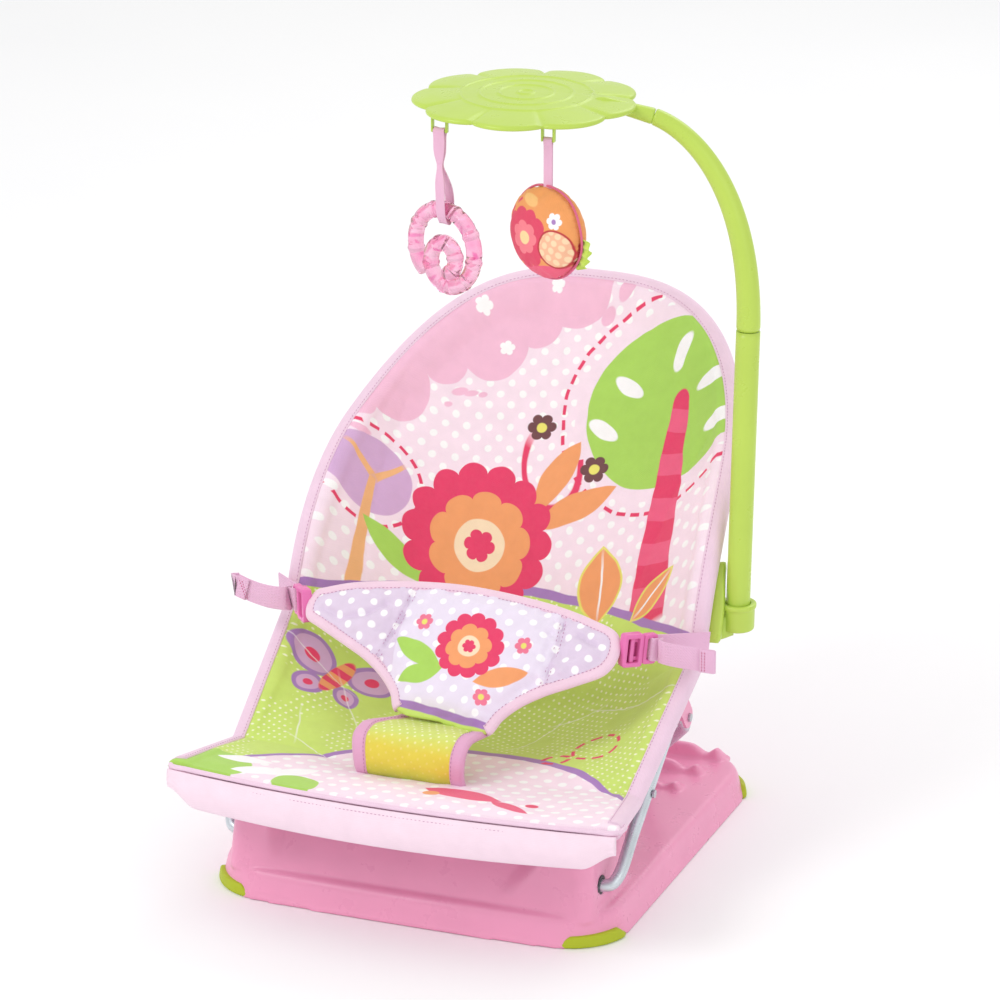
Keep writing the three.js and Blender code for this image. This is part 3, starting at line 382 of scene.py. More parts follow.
def resample(line, count):
    line = np.asarray(line, float)
    gone = np.concatenate([[0], np.cumsum(np.linalg.norm(np.diff(line, axis=0), axis=1))])
    want = np.linspace(0, gone[-1], count)
    return np.stack([np.interp(want, gone, line[:, k]) for k in range(3)], 1)


def carried_frames(path, up, closed=False):
    """Tangent, across and up at each point; up=None carries the first frame along."""
    path = np.asarray(path, float)
    if closed:
        tangent = unit(np.roll(path, -1, 0) - np.roll(path, 1, 0))
    else:
        tangent = unit(np.gradient(path, axis=0))
    if up is not None:
        across = unit(np.cross(tangent, np.broadcast_to(up, path.shape)))
        return tangent, across, np.cross(across, tangent)
    seed = np.array([0, 0, 1.0]) if abs(tangent[0][2]) < 0.9 else np.array([0, 1.0, 0])
    rows = []
    for t in tangent:
        seed = unit(seed - t * np.dot(seed, t))
        rows.append(seed)
    ups = np.array(rows)
    return tangent, np.cross(tangent, ups), ups


def sweep(name, path, section, material, up=None, closed=False, scale=None):
    """A section of (across, up) points carried along a path; scale thins it on the way."""
    _, across, ups = carried_frames(path, up, closed)
    section = np.asarray(section, float)
    scale = np.ones(len(path)) if scale is None else np.asarray(scale, float)
    grid = (np.asarray(path)[:, None] + scale[:, None, None] * (
        section[None, :, :1] * across[:, None] + section[None, :, 1:] * ups[:, None]))
    return loft(name, grid, material, closed=closed)


def round_section(radius, sides=20):
    angle = np.linspace(0, 2 * np.pi, sides, endpoint=False)
    return np.stack([radius * np.cos(angle), radius * np.sin(angle)], 1)


def band_section(width, thickness):
    """A flat strap's section, with rounded edges."""
    corner = thickness / 2
    points = []
    for sx, sy, start in ((1, 1, 0), (-1, 1, 90), (-1, -1, 180), (1, -1, 270)):
        for k in range(4):
            a = math.radians(start + 30 * k)
            points.append((sx * (width / 2 - corner) + corner * math.cos(a),
                           sy * (thickness / 2 - corner) + corner * math.sin(a)))
    return points


def tube(name, path, radius, material, sides=20, wall=1.2):
    """A round tube with softened, open-looking ends."""
    path = np.asarray(path, float)
    _, across, ups = carried_frames(path, None)
    ring = round_section(1.0, sides)
    spokes = ring[None, :, :1] * across[:, None] + ring[None, :, 1:] * ups[:, None]
    grid = path[:, None] + radius * spokes
    ends = [(0, 1), (-1, -1)]
    inner = [path[e][None] + (radius - wall) * spokes[e] for e, _ in ends]
    deep = [path[e + 4 * d][None] + (radius - wall) * spokes[e + 4 * d] for e, d in ends]
    grid = np.concatenate([[deep[0], inner[0]], grid, [inner[1], deep[1]]])
    return loft(name, grid, material)


def wobble(points, scale, seed):
    """Smooth noise from -1 to 1 at each point."""
    shift = Vector((seed * 7.31, seed * 3.17, seed * 5.77))
    places = np.asarray(points).reshape(-1, 3)
    return np.array([noise.noise(Vector(p) * scale + shift) for p in places])


make_camera()
make_light()

# ---- the frame's side line, as the CAD part draws it ---------------------------------------
PIVOT_HEIGHT = 52
PIVOT_Y = -180
PIVOT = at(205, PIVOT_Y, PIVOT_HEIGHT)
# The tube's slope in degrees at distances from the pivot.
SLOPES = [(0, 39.5), (236, 39.5), (276, 69), (475, 28.5), (697, 40)]
LEG = 253.0                     # pivot to the strap bend
BACK = 444.0                    # strap bend to the top of the arch
HALF = 226.0                    # outer edge of the fabric at the bend
TUBE_INSET = 13.5               # fabric edge to tube centre
ARCH_POWER = 2.7
JOINT_AT = 400.0                # distance from the pivot to the joint with the arch tube


def slope_at(distance):
    stops, slopes = zip(*SLOPES)
    return np.radians(np.interp(distance, stops, slopes))


LINE_STEP = 4.0
LINE_S = np.arange(0, LEG + BACK + 2 * LINE_STEP, LINE_STEP)
LINE_TURNS = slope_at(LINE_S[:-1] + LINE_STEP / 2)
LINE_Y = PIVOT[1] + np.concatenate([[0], np.cumsum(LINE_STEP * np.cos(LINE_TURNS))])
LINE_Z = PIVOT[2] + np.concatenate([[0], np.cumsum(LINE_STEP * np.sin(LINE_TURNS))])


def side_at(distance):
    """The side line's point at a distance from the pivot, on the middle plane."""
    distance = np.asarray(distance, float)
    return np.stack([0 * distance, np.interp(distance, LINE_S, LINE_Y),
                     np.interp(distance, LINE_S, LINE_Z)], -1)


def arch_at(angle, inset):
    """Half-width and height up the back of the rounded outline; angle from 0 (bend) to 90 (top)."""
    power = 2 / ARCH_POWER
    a = np.radians(np.minimum(angle, 90))
    across = (HALF - inset) * np.maximum(np.cos(a), 0) ** power
    return across, (BACK - inset) * np.sin(a) ** power


def arch_point(angle, side, inset=TUBE_INSET):
    across, along = arch_at(angle, inset)
    point = side_at(LEG + along)
    point[..., 0] = side * across
    return point


def leg_point(distance, side):
    point = side_at(distance)
    point[0] = side * (PIVOT[0] + distance / LEG * (HALF - TUBE_INSET - PIVOT[0]))
    return point


ARCH_JOINT = next(a / 10 for a in range(900)
                  if arch_at(a / 10, TUBE_INSET)[1] >= JOINT_AT - LEG)


def side_tube_path(side):
    points = [at(side * x, PIVOT_Y, PIVOT_HEIGHT) for x in (176, 185, 193)]
    points += [at(side * 200.5, -178, 53.6), leg_point(13, side)]
    points += [leg_point(d, side) for d in range(60, int(LEG), 45)]
    points += [arch_point(a, side) for a in np.arange(6, ARCH_JOINT - 4, 7)]
    points.append(arch_point(ARCH_JOINT, side))
    return smooth_path(points, 140)


def arch_tube_path():
    angles = np.linspace(ARCH_JOINT + 0.15, 90, 15)
    points = [arch_point(a, -1) for a in angles] + [arch_point(a, 1) for a in angles[-2::-1]]
    return smooth_path(points, 160)


LIP_HALF = 236.0                # half of the front edge's width
LIP_Y = -283.0                  # front edge's middle
LIP_CORNER_Y = -254.0
LIP_CORNER_Z = 142.0
LIP_RISE = 4.5                  # the front edge's middle stands this far above its corners
RAIL_Z = 126
RAIL_BEHIND_HEM = 7.4


def hem_y(x):
    """The hem's back face: it bows forward in the middle."""
    return LIP_CORNER_Y - 4 + (LIP_Y - LIP_CORNER_Y) * (1 - (x / LIP_HALF) ** 2)


def rail_path():
    half = [at(193.5, -90, 120), at(193.5, -150, 118), at(200, -198, 118.5), at(207, -230, 123)]
    half += [at(x, hem_y(x) + RAIL_BEHIND_HEM, RAIL_Z) for x in (196, 160, 90)]
    middle = at(0, hem_y(0) + RAIL_BEHIND_HEM, RAIL_Z)
    points = [p * MIRROR for p in half] + [middle] + half[::-1]
    return smooth_path(points, 200)


def bent_path(points, bend):
    """Straight runs joined by rounded bends."""
    p = [np.asarray(q, float) for q in points]
    line = [p[0]]
    for before, corner, after in zip(p, p[1:], p[2:]):
        start = corner + bend * unit(before - corner)
        end = corner + bend * unit(after - corner)
        for t in np.linspace(0, 1, 9):
            line.append((1 - t) ** 2 * start + 2 * t * (1 - t) * corner + t * t * end)
    line.append(p[-1])
    return resample(line, 220)


# ---- steel frame ---------------------------------------------------------------------------
def make_steel():
    silver = steel("silver_coat", SILVER)
    for side, label in ((-1, "left"), (1, "right")):
        piece = tube(f"side_tube_{label}_fine", side_tube_path(side), TUBE_RADIUS, silver)
        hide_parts(f"side_tube_{label}")
        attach(piece, "seat_frame")
    piece = tube("arch_tube_fine", arch_tube_path(), TUBE_RADIUS, silver)
    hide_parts("arch_tube")
    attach(piece, "seat_frame")
    piece = tube("front_rail_fine", rail_path(), TUBE_RADIUS, silver)
    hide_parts("front_rail")
    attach(piece, "seat_frame")

    right = [at(208, -10, 170), at(208, 18, 146.5), at(112, 148.5, 36.8)]
    points = [p * MIRROR for p in right] + right[::-1]
    piece = tube("kickstand_tube_fine", bent_path(points, 13), TUBE_RADIUS, silver)
    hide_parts("kickstand_tube")
    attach(piece, "kickstand")


make_steel()

# ---- base ----------------------------------------------------------------------------------
TRAY = {"half": 215.0, "front": -225.0, "back": 240.0, "corner": 62.0, "top": 30.0}
BLOCK = {"half": 193.0, "front": -214.0, "back": -95.0, "top": 105.0, "lean": 6.0, "corner": 16.0}
SCOOP = {"depth": 16.0, "left": -150.0, "right": 158.0, "slant": 0.7}
RIBS = [(112, 172, 11), (159, 179, 13), (203, 186, 15)]     # front, half-width, height
TUBE_HOLE_RADIUS = 8.6
SHELL_VOXEL = 0.0019            # metres


def rounded_rectangle(half, front, back, corner, per_corner=14):
    points = []
    for sx, y, start in ((1, front, -90), (1, back, 0), (-1, back, 90), (-1, front, 180)):
        cx = sx * (half - corner)
        cy = y + corner if y == front else y - corner
        for a in np.radians(np.linspace(start, start + 90, per_corner)):
            points.append((cx + corner * math.cos(a), cy + corner * math.sin(a)))
    return np.array(points)


def tray_ring(z, inset):
    """The tray's outline at a height, drawn in by an inset; its front bows forward."""
    half = TRAY["half"] - inset
    ring = rounded_rectangle(half, TRAY["front"] + inset, TRAY["back"] - inset,
                             TRAY["corner"] - inset)
    dense = []
    for a, b in zip(ring, np.roll(ring, -1, 0)):
        count = max(1, int(np.linalg.norm(b - a) / 14))
        dense += [a + (b - a) * k / count for k in range(count)]
    ring = np.array(dense)
    forward = np.clip(ring[:, 1] / TRAY["front"], 0, None)
    ring[:, 1] -= 8 * forward * (1 - (ring[:, 0] / half) ** 2)
    return ring, z


def block_ring(z, inset):
    """The front block's outline at a height, drawn in by an inset; its walls lean inwards."""
    rise = (z - TRAY["top"]) / (BLOCK["top"] - TRAY["top"])
    half = BLOCK["half"] - BLOCK["lean"] * rise - inset
    front = BLOCK["front"] + BLOCK["lean"] * rise + inset
    return rounded_rectangle(half, front, BLOCK["back"] - inset, BLOCK["corner"], 8), z


def stack(name, rings):
    """A closed solid lofted through level rings with the same number of points."""
    count = min(len(ring) for ring, _ in rings)
    grid = []
    for ring, z in rings:
        closed = np.vstack([ring, ring[:1]])
        flat = np.column_stack([closed, np.zeros(len(closed))])
        even = resample(flat, count + 1)[:-1] if len(ring) != count else flat[:-1]
        grid.append([at(x, y, z) for x, y, _ in even])
    return loft(name, grid, None)


def press_scoop(body):
    """The shallow hollow in the block's front: deep at the top, running out above the tray."""
    points = mesh_points(body)
    x, y, z = points[:, 0], points[:, 1] + CENTRE_Y, points[:, 2]
    right_end = SCOOP["right"] - SCOOP["slant"] * np.maximum(BLOCK["top"] - z, 0)
    ends = step(SCOOP["left"], SCOOP["left"] + 16, x) * step(0, 22, right_end - x)
    fall = step(28, 84, z)
    reach = 1 - step(-206, -112, y)
    points[:, 1] += SCOOP["depth"] * ends * fall * reach
    set_points(body, points)


def boolean(target, tools, operation):
    for tool in tools:
        bake(target, ("BOOLEAN", {"object": tool, "operation": operation, "solver": "EXACT"}))
        bpy.data.objects.remove(tool)


def rib(front, half, height):
    """One raised rib across the tray, with a low place near each end."""
    top = TRAY["top"] + height
    outline = [(front, 22), (front + 3.5, top - 2), (front + 5, top - 0.3), (front + 7, top),
               (front + 12, top - 1.5), (front + 18, top - 6), (front + 24, TRAY["top"]),
               (front + 25, 22)]
    columns = np.linspace(-half, half, 121)
    rings = []
    for x in columns:
        end = step(0, 10, half - abs(x))
        dip = 0.55 * math.exp(-((half - 22 - abs(x)) / 9) ** 2)
        rise = end * (1 - dip)
        rings.append([at(x, a + (1 - end) * 5 * (a > front + 10),
                         b if b < 25 else TRAY["top"] - 3 + (b - TRAY["top"] + 3) * rise)
                      for a, b in outline])
    return loft("rib", rings, None)


def make_base():
    body = stack("base_tray", [tray_ring(0, 0), tray_ring(4.5, 0.9), tray_ring(5.2, 2.4),
                               tray_ring(24, 7), tray_ring(28, 9.4), tray_ring(30, 13)])
    hump = stack("block", [block_ring(24, -0.5), block_ring(99, 0), block_ring(103, 2),
                           block_ring(105, 6)])
    boolean(body, [hump] + [rib(*r) for r in RIBS], "UNION")
    inside = stack("inside", [tray_ring(-2, 3.2), tray_ring(24, 10.2), tray_ring(26.5, 14)])
    cave = stack("cave", [block_ring(20, 3.6), block_ring(99, 3.6), block_ring(102.1, 8)])
    boolean(inside, [cave], "UNION")
    boolean(body, [inside], "DIFFERENCE")
    holes = []
    for side in (-1, 1):
        path = [at(side * x, PIVOT_Y, PIVOT_HEIGHT) for x in (176, 180, 190, 199)]
        holes.append(sweep("hole", path, round_section(TUBE_HOLE_RADIUS), None))
    boolean(body, holes, "DIFFERENCE")
    bake(body, ("REMESH", {"mode": "VOXEL", "voxel_size": SHELL_VOXEL, "use_smooth_shade": True}))
    bake(body, ("SMOOTH", {"factor": 0.5, "iterations": 7}))
    press_scoop(body)
    body.name = "base_shell_fine"
    dress(body, plastic("pink_plastic", PINK, 0.3, 0.1))
    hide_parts("base_shell")
    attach(body, "base")


FOOT_SWEEP = math.radians(70)    # how far a foot pad reaches round its corner
FOOT_SLICES = 40


def make_feet():
    rubber = plastic("lime_rubber", LIME, 0.55, 0.3)
    for sx, sy in ((-1, -1), (1, -1), (-1, 1), (1, 1)):
        label = f"foot_pad_{'front' if sy < 0 else 'rear'}_{'left' if sx < 0 else 'right'}"
        corner = TRAY["corner"]
        centre = (sx * (TRAY["half"] - corner),
                  (TRAY["back"] - corner) if sy > 0 else TRAY["front"] + corner)
        middle = math.atan2(sy, sx)
        rings = []
        for k in range(FOOT_SLICES + 1):
            share = k / FOOT_SLICES
            angle = middle + FOOT_SWEEP * (share - 0.5)
            end = step(0, 0.06, share) * step(0, 0.06, 1 - share)
            high = 5 + 6.8 * step(0, 0.16, share) * step(0, 0.16, 1 - share)
            out = corner + 2.5
            section = [(corner - 13, 0), (corner - 13, 2), (corner - 4, 2.2),
                       (corner - 4.4, high - 0.6), (corner - 4.0, high), (corner - 3.0, high),
                       (out - 2.6, high - 0.4), (out - 1.4, high - 1.6), (out - 0.2, 4), (out, 2),
                       (out - 0.5, 0.5), (out - 1.5, 0)]
            ring = []
            for radius, z in section:
                radius = corner - 4 + (radius - corner + 4) * (0.72 + 0.28 * end)
                ring.append(at(centre[0] + radius * math.cos(angle),
                               centre[1] + radius * math.sin(angle), z))
            rings.append(ring)
        piece = loft(f"{label}_fine", rings, rubber)
        bake(piece, ("BEVEL", {"width": 0.0004, "segments": 2, "limit_method": "ANGLE"}))
        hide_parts(label)
        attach(piece, "base")


make_base()
make_feet()

# ---- the cover's surface -------------------------------------------------------------------
# The cover's middle line, (y, z) from the lip over the seat and up the back.
MIDDLE_POINTS = [(-283, 147), (-186, 130), (-60, 114), (22, 112), (62, 136), (105, 200), (165, 287),
                 (228, 362), (290, 437), (336, 500)]
MIDDLE = smooth_path([at(0, y, z) for y, z in MIDDLE_POINTS], 600)
MIDDLE_CREASE = 0.43            # share of the middle line that lies before the crease
SEAT_LONG = 320.0               # flat length of the seat, from the lip to the crease
SLEEVE = 17.0                   # width of the hem round each side tube
SLEEVE_HALF = 8.4               # half thickness of that hem
CLOTH_HALF = 4.6                # half thickness of the padded middle
LIP_HALF_THICK = 6.5            # half thickness of the front edge
ARCH_REACH = 88.0               # the arch angle, in degrees, that stands for the cover's top
SAG_POWER = 2.35


def middle_at(share):
    """The middle line at a share of the way: 0 lip, 1 crease, 2 top."""
    t = np.where(share <= 1, MIDDLE_CREASE * share, MIDDLE_CREASE + (1 - MIDDLE_CREASE) * (share - 1))
    where = np.clip(t, 0, 1) * (len(MIDDLE) - 1)
    return np.stack([np.interp(where, np.arange(len(MIDDLE)), MIDDLE[:, k]) for k in range(3)], -1)


def edge_at(share):
    """Right edge of the cover at a share of the way: 0 lip, 1 bend, 2 top of the arch."""
    share = np.asarray(share, float)[..., None]
    low = at(217, -141, 126)
    corner = at(LIP_HALF, LIP_CORNER_Y, LIP_CORNER_Z)
    bend = side_at(LEG) + np.array([HALF, 0, 0])
    front = corner + (low - corner) * np.clip(share / 0.4, 0, 1)
    seat = front + (bend - low) * np.clip((share - 0.4) / 0.6, 0, 1)
    across, along = arch_at(ARCH_REACH * np.clip(share[..., 0] - 1, 0, 1), 0)
    back = side_at(LEG + along)
    back[..., 0] = across
    return np.where(share <= 1, seat, back)


def cover_point(u, share):
    """Middle surface of the hammock, and its flat (across, along) place on the cloth."""
    u, share = np.broadcast_arrays(np.asarray(u, float), np.asarray(share, float))
    edge = edge_at(share)
    half = edge[..., 0]
    sleeve = np.minimum(SLEEVE, 0.3 * half)
    inner = np.clip(np.abs(u) * half / (half - sleeve), 0, 1)
    sag = 1 - inner ** SAG_POWER
    point = edge + (middle_at(share) - edge) * sag[..., None]
    point[..., 0] = half * u
    _, edge_along = arch_at(ARCH_REACH * np.clip(share - 1, 0, 1), 0)
    seat = -(1 - share) * SEAT_LONG
    along = np.where(share <= 1, seat, edge_along + (BACK * (share - 1) - edge_along) * sag)
    flat = np.stack([half * u, along], -1)
    ruled = side_at(LEG + np.maximum(along, 0))
    ruled[..., 0] = half * u
    near = 1 - step(SLEEVE, SLEEVE + 32, edge_distance(flat, half))
    near = near * step(0.5, 0.85, along / BACK)
    return point + (ruled - point) * near[..., None], flat


def edge_distance(flat, half):
    """How far a flat place lies inside the cover's outline."""
    x, along = np.abs(flat[..., 0]), flat[..., 1]
    p = ARCH_POWER
    a = np.maximum(along, 0) / BACK
    q = np.maximum(((x / HALF) ** p + a ** p) ** (1 / p), 1e-6)
    slope = np.hypot(x ** (p - 1) / HALF ** p, a ** (p - 1) / BACK) * q ** (1 - p)
    arch = (1 - q) / np.maximum(slope, 1e-6)
    return np.where(along > 0, np.maximum(arch, 0), np.maximum(half - x, 0))


def nose(distance, radius):
    """Half thickness of an edge rounded to a radius."""
    inside = np.clip(distance, 0, radius)
    return np.sqrt(np.maximum(radius ** 2 - (radius - inside) ** 2, 0))


def segment_distance(p, a, b):
    """Distance of flat points from a straight line between two places."""
    a, b = np.asarray(a, float), np.asarray(b, float)
    d = b - a
    t = np.clip(((p - a) @ d) / (d @ d), 0, 1)
    return np.linalg.norm(p - (a + t[..., None] * d), axis=-1)


def line_distance(p, line):
    return np.min([segment_distance(p, a, b) for a, b in zip(line, line[1:])], axis=0)


def seam_distance(flat, seams):
    return np.min([line_distance(flat, seam) for seam in seams], axis=0)


class Print(Shader):
    """A printed cloth: flat shapes painted one over another on a plane in millimetres."""

    def __init__(self, name, ground):
        super().__init__(name, 0.72, Sheen_Weight=0.15, Sheen_Roughness=0.5)
        uv = self.node("ShaderNodeUVMap", uv_map="print").outputs[0]
        flat = self.vector("MULTIPLY", uv, (1000.0, 1000.0, 0.0))
        self.patch = self.noise(flat, 0.012, 1.0)
        ripple = self.node("ShaderNodeTexNoise", {"Vector": flat, "Scale": 0.03, "Detail": 1.0})
        shift = self.vector("SUBTRACT", ripple.outputs["Color"], (0.5, 0.5, 0.5))
        shift = self.vector("MULTIPLY", shift, (5.0, 5.0, 0.0))
        self.plane = self.vector("ADD", flat, shift)
        self.x, self.y = self.parts(self.plane)
        self.paint = ground

    def parts(self, vector):
        return [self.vector("DOT_PRODUCT", vector, axis) for axis in ((1, 0, 0), (0, 1, 0))]

    def local(self, centre, radii=(1, 1), turn=0.0):
        """The plane seen from a motif's own centre, turn and size."""
        made = self.vector("SUBTRACT", self.plane, (*centre, 0))
        if turn:
            turned = {"Vector": made, "Angle": -math.radians(turn)}
            made = self.node("ShaderNodeVectorRotate", turned, rotation_type="Z_AXIS").outputs[0]
        return self.vector("MULTIPLY", made, (1 / radii[0], 1 / radii[1], 0.0))

    def edge(self, distance, width=0.012):
        """1 where distance is under 1."""
        return self.band(distance, 1 + width, 1 - width)

    def disc(self, centre, radii, turn=0.0):
        radii = (radii, radii) if np.isscalar(radii) else radii
        return self.edge(self.vector("LENGTH", self.local(centre, radii, turn)), 0.5 / min(radii))

    def bar(self, centre, radii, turn=0.0, taper=0.0):
        """A straight bar; taper narrows it towards its own +Y end."""
        x, y = self.parts(self.local(centre, radii, turn))
        wide = self.math("ABSOLUTE", x)
        if taper:
            wide = self.math("DIVIDE", wide, self.math("MULTIPLY_ADD", y, -taper, 1.0))
        return self.edge(self.math("MAXIMUM", wide, self.math("ABSOLUTE", y)), 0.5 / min(radii))

    def leaf(self, centre, radii, turn=0.0):
        """A pointed leaf: two arcs that meet at its tips."""
        x, y = self.parts(self.local(centre, radii, turn))
        wide = self.math("ADD", self.math("ABSOLUTE", x), self.math("MULTIPLY", y, y))
        return self.edge(wide, 0.6 / min(radii))

    def blossom(self, centre, radius, petals, turn=0.0, depth=0.3):
        """A scalloped round flower."""
        local = self.local(centre, (radius, radius), turn)
        x, y = self.parts(local)
        angle = self.math("ARCTAN2", y, x)
        lobe = self.math("ABSOLUTE", self.math("COSINE", self.math("MULTIPLY", angle, petals / 2)))
        rim = self.math("MULTIPLY_ADD", self.math("POWER", lobe, 0.6), depth, 1 - depth)
        return self.edge(self.math("DIVIDE", self.vector("LENGTH", local), rim), 0.5 / radius)

    def dashes(self, centre, radii, width, count, turn=0.0, low=0.0, high=1.0):
        """A dashed round line; low and high are the shares of the turn where it starts and ends."""
        local = self.local(centre, radii, turn)
        x, y = self.parts(local)
        turns = self.math("DIVIDE", self.math("ARCTAN2", y, x), 2 * math.pi)
        turns = self.math("ADD", turns, 0.5)
        wave = self.math("PINGPONG", self.math("MULTIPLY", turns, 2 * count), 1.0)
        off = self.math("ABSOLUTE", self.math("SUBTRACT", self.vector("LENGTH", local), 1.0))
        line = self.edge(self.math("DIVIDE", off, width / min(radii)), 0.25)
        mask = self.math("MULTIPLY", line, self.band(wave, 0.32, 0.4))
        if (low, high) != (0.0, 1.0):
            part = self.math("COMPARE", turns, (low + high) / 2, (high - low) / 2)
            mask = self.math("MULTIPLY", mask, part)
        return mask

    def dots(self, pitch, radius, turn=0.0):
        """Staggered round dots."""
        local = self.local((0, 0), (pitch, pitch), turn)
        far = []
        for shift in (0.0, 0.5):
            cell = self.vector("FRACTION", self.vector("ADD", local, (shift, shift, 0.0)))
            far.append(self.vector("LENGTH", self.vector("SUBTRACT", cell, (0.5, 0.5, 0.0))))
        nearest = self.math("MINIMUM", *far)
        return self.edge(self.math("DIVIDE", nearest, radius / pitch), 0.5 / radius)

    def below(self, level, slope, soft=0.5):
        """1 under a sloping line: level + slope x."""
        line = self.math("MULTIPLY_ADD", self.x, slope, level)
        return self.band(self.math("SUBTRACT", self.y, line), soft, -soft)

    def either(self, *masks):
        result = masks[0]
        for mask in masks[1:]:
            result = self.math("MAXIMUM", result, mask)
        return result

    def both(self, first, second):
        return self.math("MULTIPLY", first, second)

    def outside(self, mask):
        return self.math("SUBTRACT", 1.0, mask)

    def lay(self, mask, colour):
        self.paint = self.mix(mask, self.paint, colour)

    def done(self, pitch=0.85, strength=0.2):
        """The print on its cloth: thread relief, slightly uneven ink and painted shade in the dips
        between the threads.
        """
        waves = [self.math("SINE", self.math("MULTIPLY", v, math.pi / pitch))
                 for v in (self.x, self.y)]
        height = self.math("MULTIPLY", *waves)
        ink = self.band(self.noise(self.plane, 0.06, 4.0), 0.3, 0.7, 0.94, 1.0)
        # uneven ink (random tone) times a painted shade that darkens the print a little where the
        # threads dip
        shade = self.math("MULTIPLY", ink, self.band(height, -1.0, 0.0, 0.95, 1.0))
        mixed_in = self.node("ShaderNodeMix", data_type="RGBA", blend_type="MULTIPLY")
        for socket, value in zip((mixed_in.inputs[0], mixed_in.inputs[6]), (1.0, self.paint)):
            self.put(socket, value)
        grey = self.node("ShaderNodeCombineColor", {0: shade, 1: shade, 2: shade})
        self.put(mixed_in.inputs[7], grey.outputs[0])
        gloss = self.band(self.noise(self.plane, 0.2, 2.0), 0.3, 0.7, 0.66, 0.82)
        return self.finish(mixed_in.outputs[2], gloss, self.bump(height, strength, 0.0004))


# ---- cover: geometry -----------------------------------------------------------------------
# Stitched lines on the cover, in flat millimetres from the middle of the bend.
SEAMS = [
    [(-166, 262), (-170, 150), (-160, 24)],
    [(176, 268), (146, 205), (122, 92), (120, 20)],
    [(113, -19), (165, -34), (222, -38)],
    [(113, -19), (74, -36), (49, -88)],
    [(-222, -30), (-150, -60), (-112, -120)],
    [(-167, -129), (-156, -172), (-100, -200)],
    [(-224, 6), (-110, -6), (0, -12), (110, -6), (224, 6)],
]
QUILTED = SEAMS[2:6]            # the lines sewn in white thread


def cover_relief(flat, depth):
    """How far the padding stands up: it dips and puckers at seams and rolls softly between them."""
    near = seam_distance(flat, SEAMS)
    puff = 2.6 * (1 - np.exp(-near / 11))
    place = np.stack([flat[..., 0], flat[..., 1], 0 * near], -1)
    rolls = wobble(place, 0.017, 1).reshape(near.shape)
    folds = wobble(place * (1, 0.35, 1), 0.045, 2).reshape(near.shape)
    pucker = wobble(place, 0.16, 3).reshape(near.shape)
    relief = puff + 2.4 * rolls + 0.9 * folds + 1.1 * pucker * np.exp(-near / 9)
    return relief * step(3, 26, depth)


def cover_half_thickness(depth, lip):
    """Half thickness: the hem round the tube, thinning to the padded middle and the front edge."""
    sleeve = nose(depth, SLEEVE_HALF)
    middle = CLOTH_HALF + (sleeve - CLOTH_HALF) * (1 - step(15, 27, depth))
    return np.minimum(middle, nose(lip, LIP_HALF_THICK))


def cover_skins():
    """Grids of the cover's front and back points, and the flat place of each."""
    shares = np.concatenate([np.linspace(0, 0.04, 7)[:-1], np.linspace(0.04, 1, 96)[:-1],
                             np.linspace(1, 2, 150)])
    even = np.linspace(-1, 1, 165)
    columns = 0.45 * even + 0.55 * np.sin(even * math.pi / 2)
    u, share = np.meshgrid(columns, shares)
    point, flat = cover_point(u, share)
    half = edge_at(share)[..., 0]
    depth = edge_distance(flat, half)
    lip = np.maximum(flat[..., 1] + SEAT_LONG, 0)
    normal = unit(np.cross(np.gradient(point, axis=1), np.gradient(point, axis=0)))
    thick = cover_half_thickness(depth, lip)
    soft = np.minimum(depth, lip)
    front = point + normal * (thick + cover_relief(flat, soft))[..., None]
    rear_place = np.concatenate([flat, 0 * flat[..., :1]], -1)
    rear = wobble(rear_place, 0.02, 5).reshape(thick.shape) * 1.6 * step(3, 30, soft)
    back = point - normal * (thick + rear)[..., None]
    return front, back, flat


def make_cover(material, back_material):
    front, back, flat = cover_skins()
    rows, count = flat.shape[:2]
    faces = grid_faces(rows, count)
    total = rows * count
    faces += [tuple(total + k for k in reversed(f)) for f in faces]
    rim = [r * count for r in range(rows)] + [(rows - 1) * count + c for c in range(1, count)]
    rim += [r * count + count - 1 for r in range(rows - 2, -1, -1)] + list(range(count - 2, 0, -1))
    for a, b in zip(rim, rim[1:] + rim[:1]):
        faces.append((a, b, total + b, total + a))
    points = np.vstack([front.reshape(-1, 3), back.reshape(-1, 3)])
    cover = mesh_object("hammock_cover", points, faces, material)
    cover.data.materials.append(back_material)
    lay_print(cover, np.vstack([flat.reshape(-1, 2)] * 2))
    first = np.array([min(p.vertices) for p in cover.data.polygons])
    cover.data.polygons.foreach_set("material_index", (first >= total).astype(int))
    bm = bmesh.new()
    bm.from_mesh(cover.data)
    bmesh.ops.remove_doubles(bm, verts=bm.verts, dist=0.00004)
    bm.to_mesh(cover.data)
    bm.free()
    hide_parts("seat_cover", "back_cover")
    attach(cover, "seat_frame")


def sleeve_point(share, inset, lift):
    """A point of the right edge's sleeve: inset from the edge, lifted off the middle surface."""
    if share <= 1:
        point = edge_at(share) - np.array([inset, 0, 0])
        a, b = edge_at(max(share - 0.02, 0)), edge_at(min(share + 0.02, 1))
        tangent = unit(b - a)
    else:
        across, along = arch_at(90 * (share - 1), inset)
        point = side_at(LEG + along)
        point[0] = across
        slope = slope_at(LEG + along)
        tangent = np.array([0, math.cos(slope), math.sin(slope)])
    normal = unit(np.array([0, -tangent[2], tangent[1]]))
    return point + lift * normal


BINDING_WIDTH = 14.5


def both_sides(rows):
    """Rows that run up the right side and over to the middle, carried on down the left side."""
    rows = np.array(rows)
    return np.concatenate([rows, rows[-2::-1] * MIRROR])


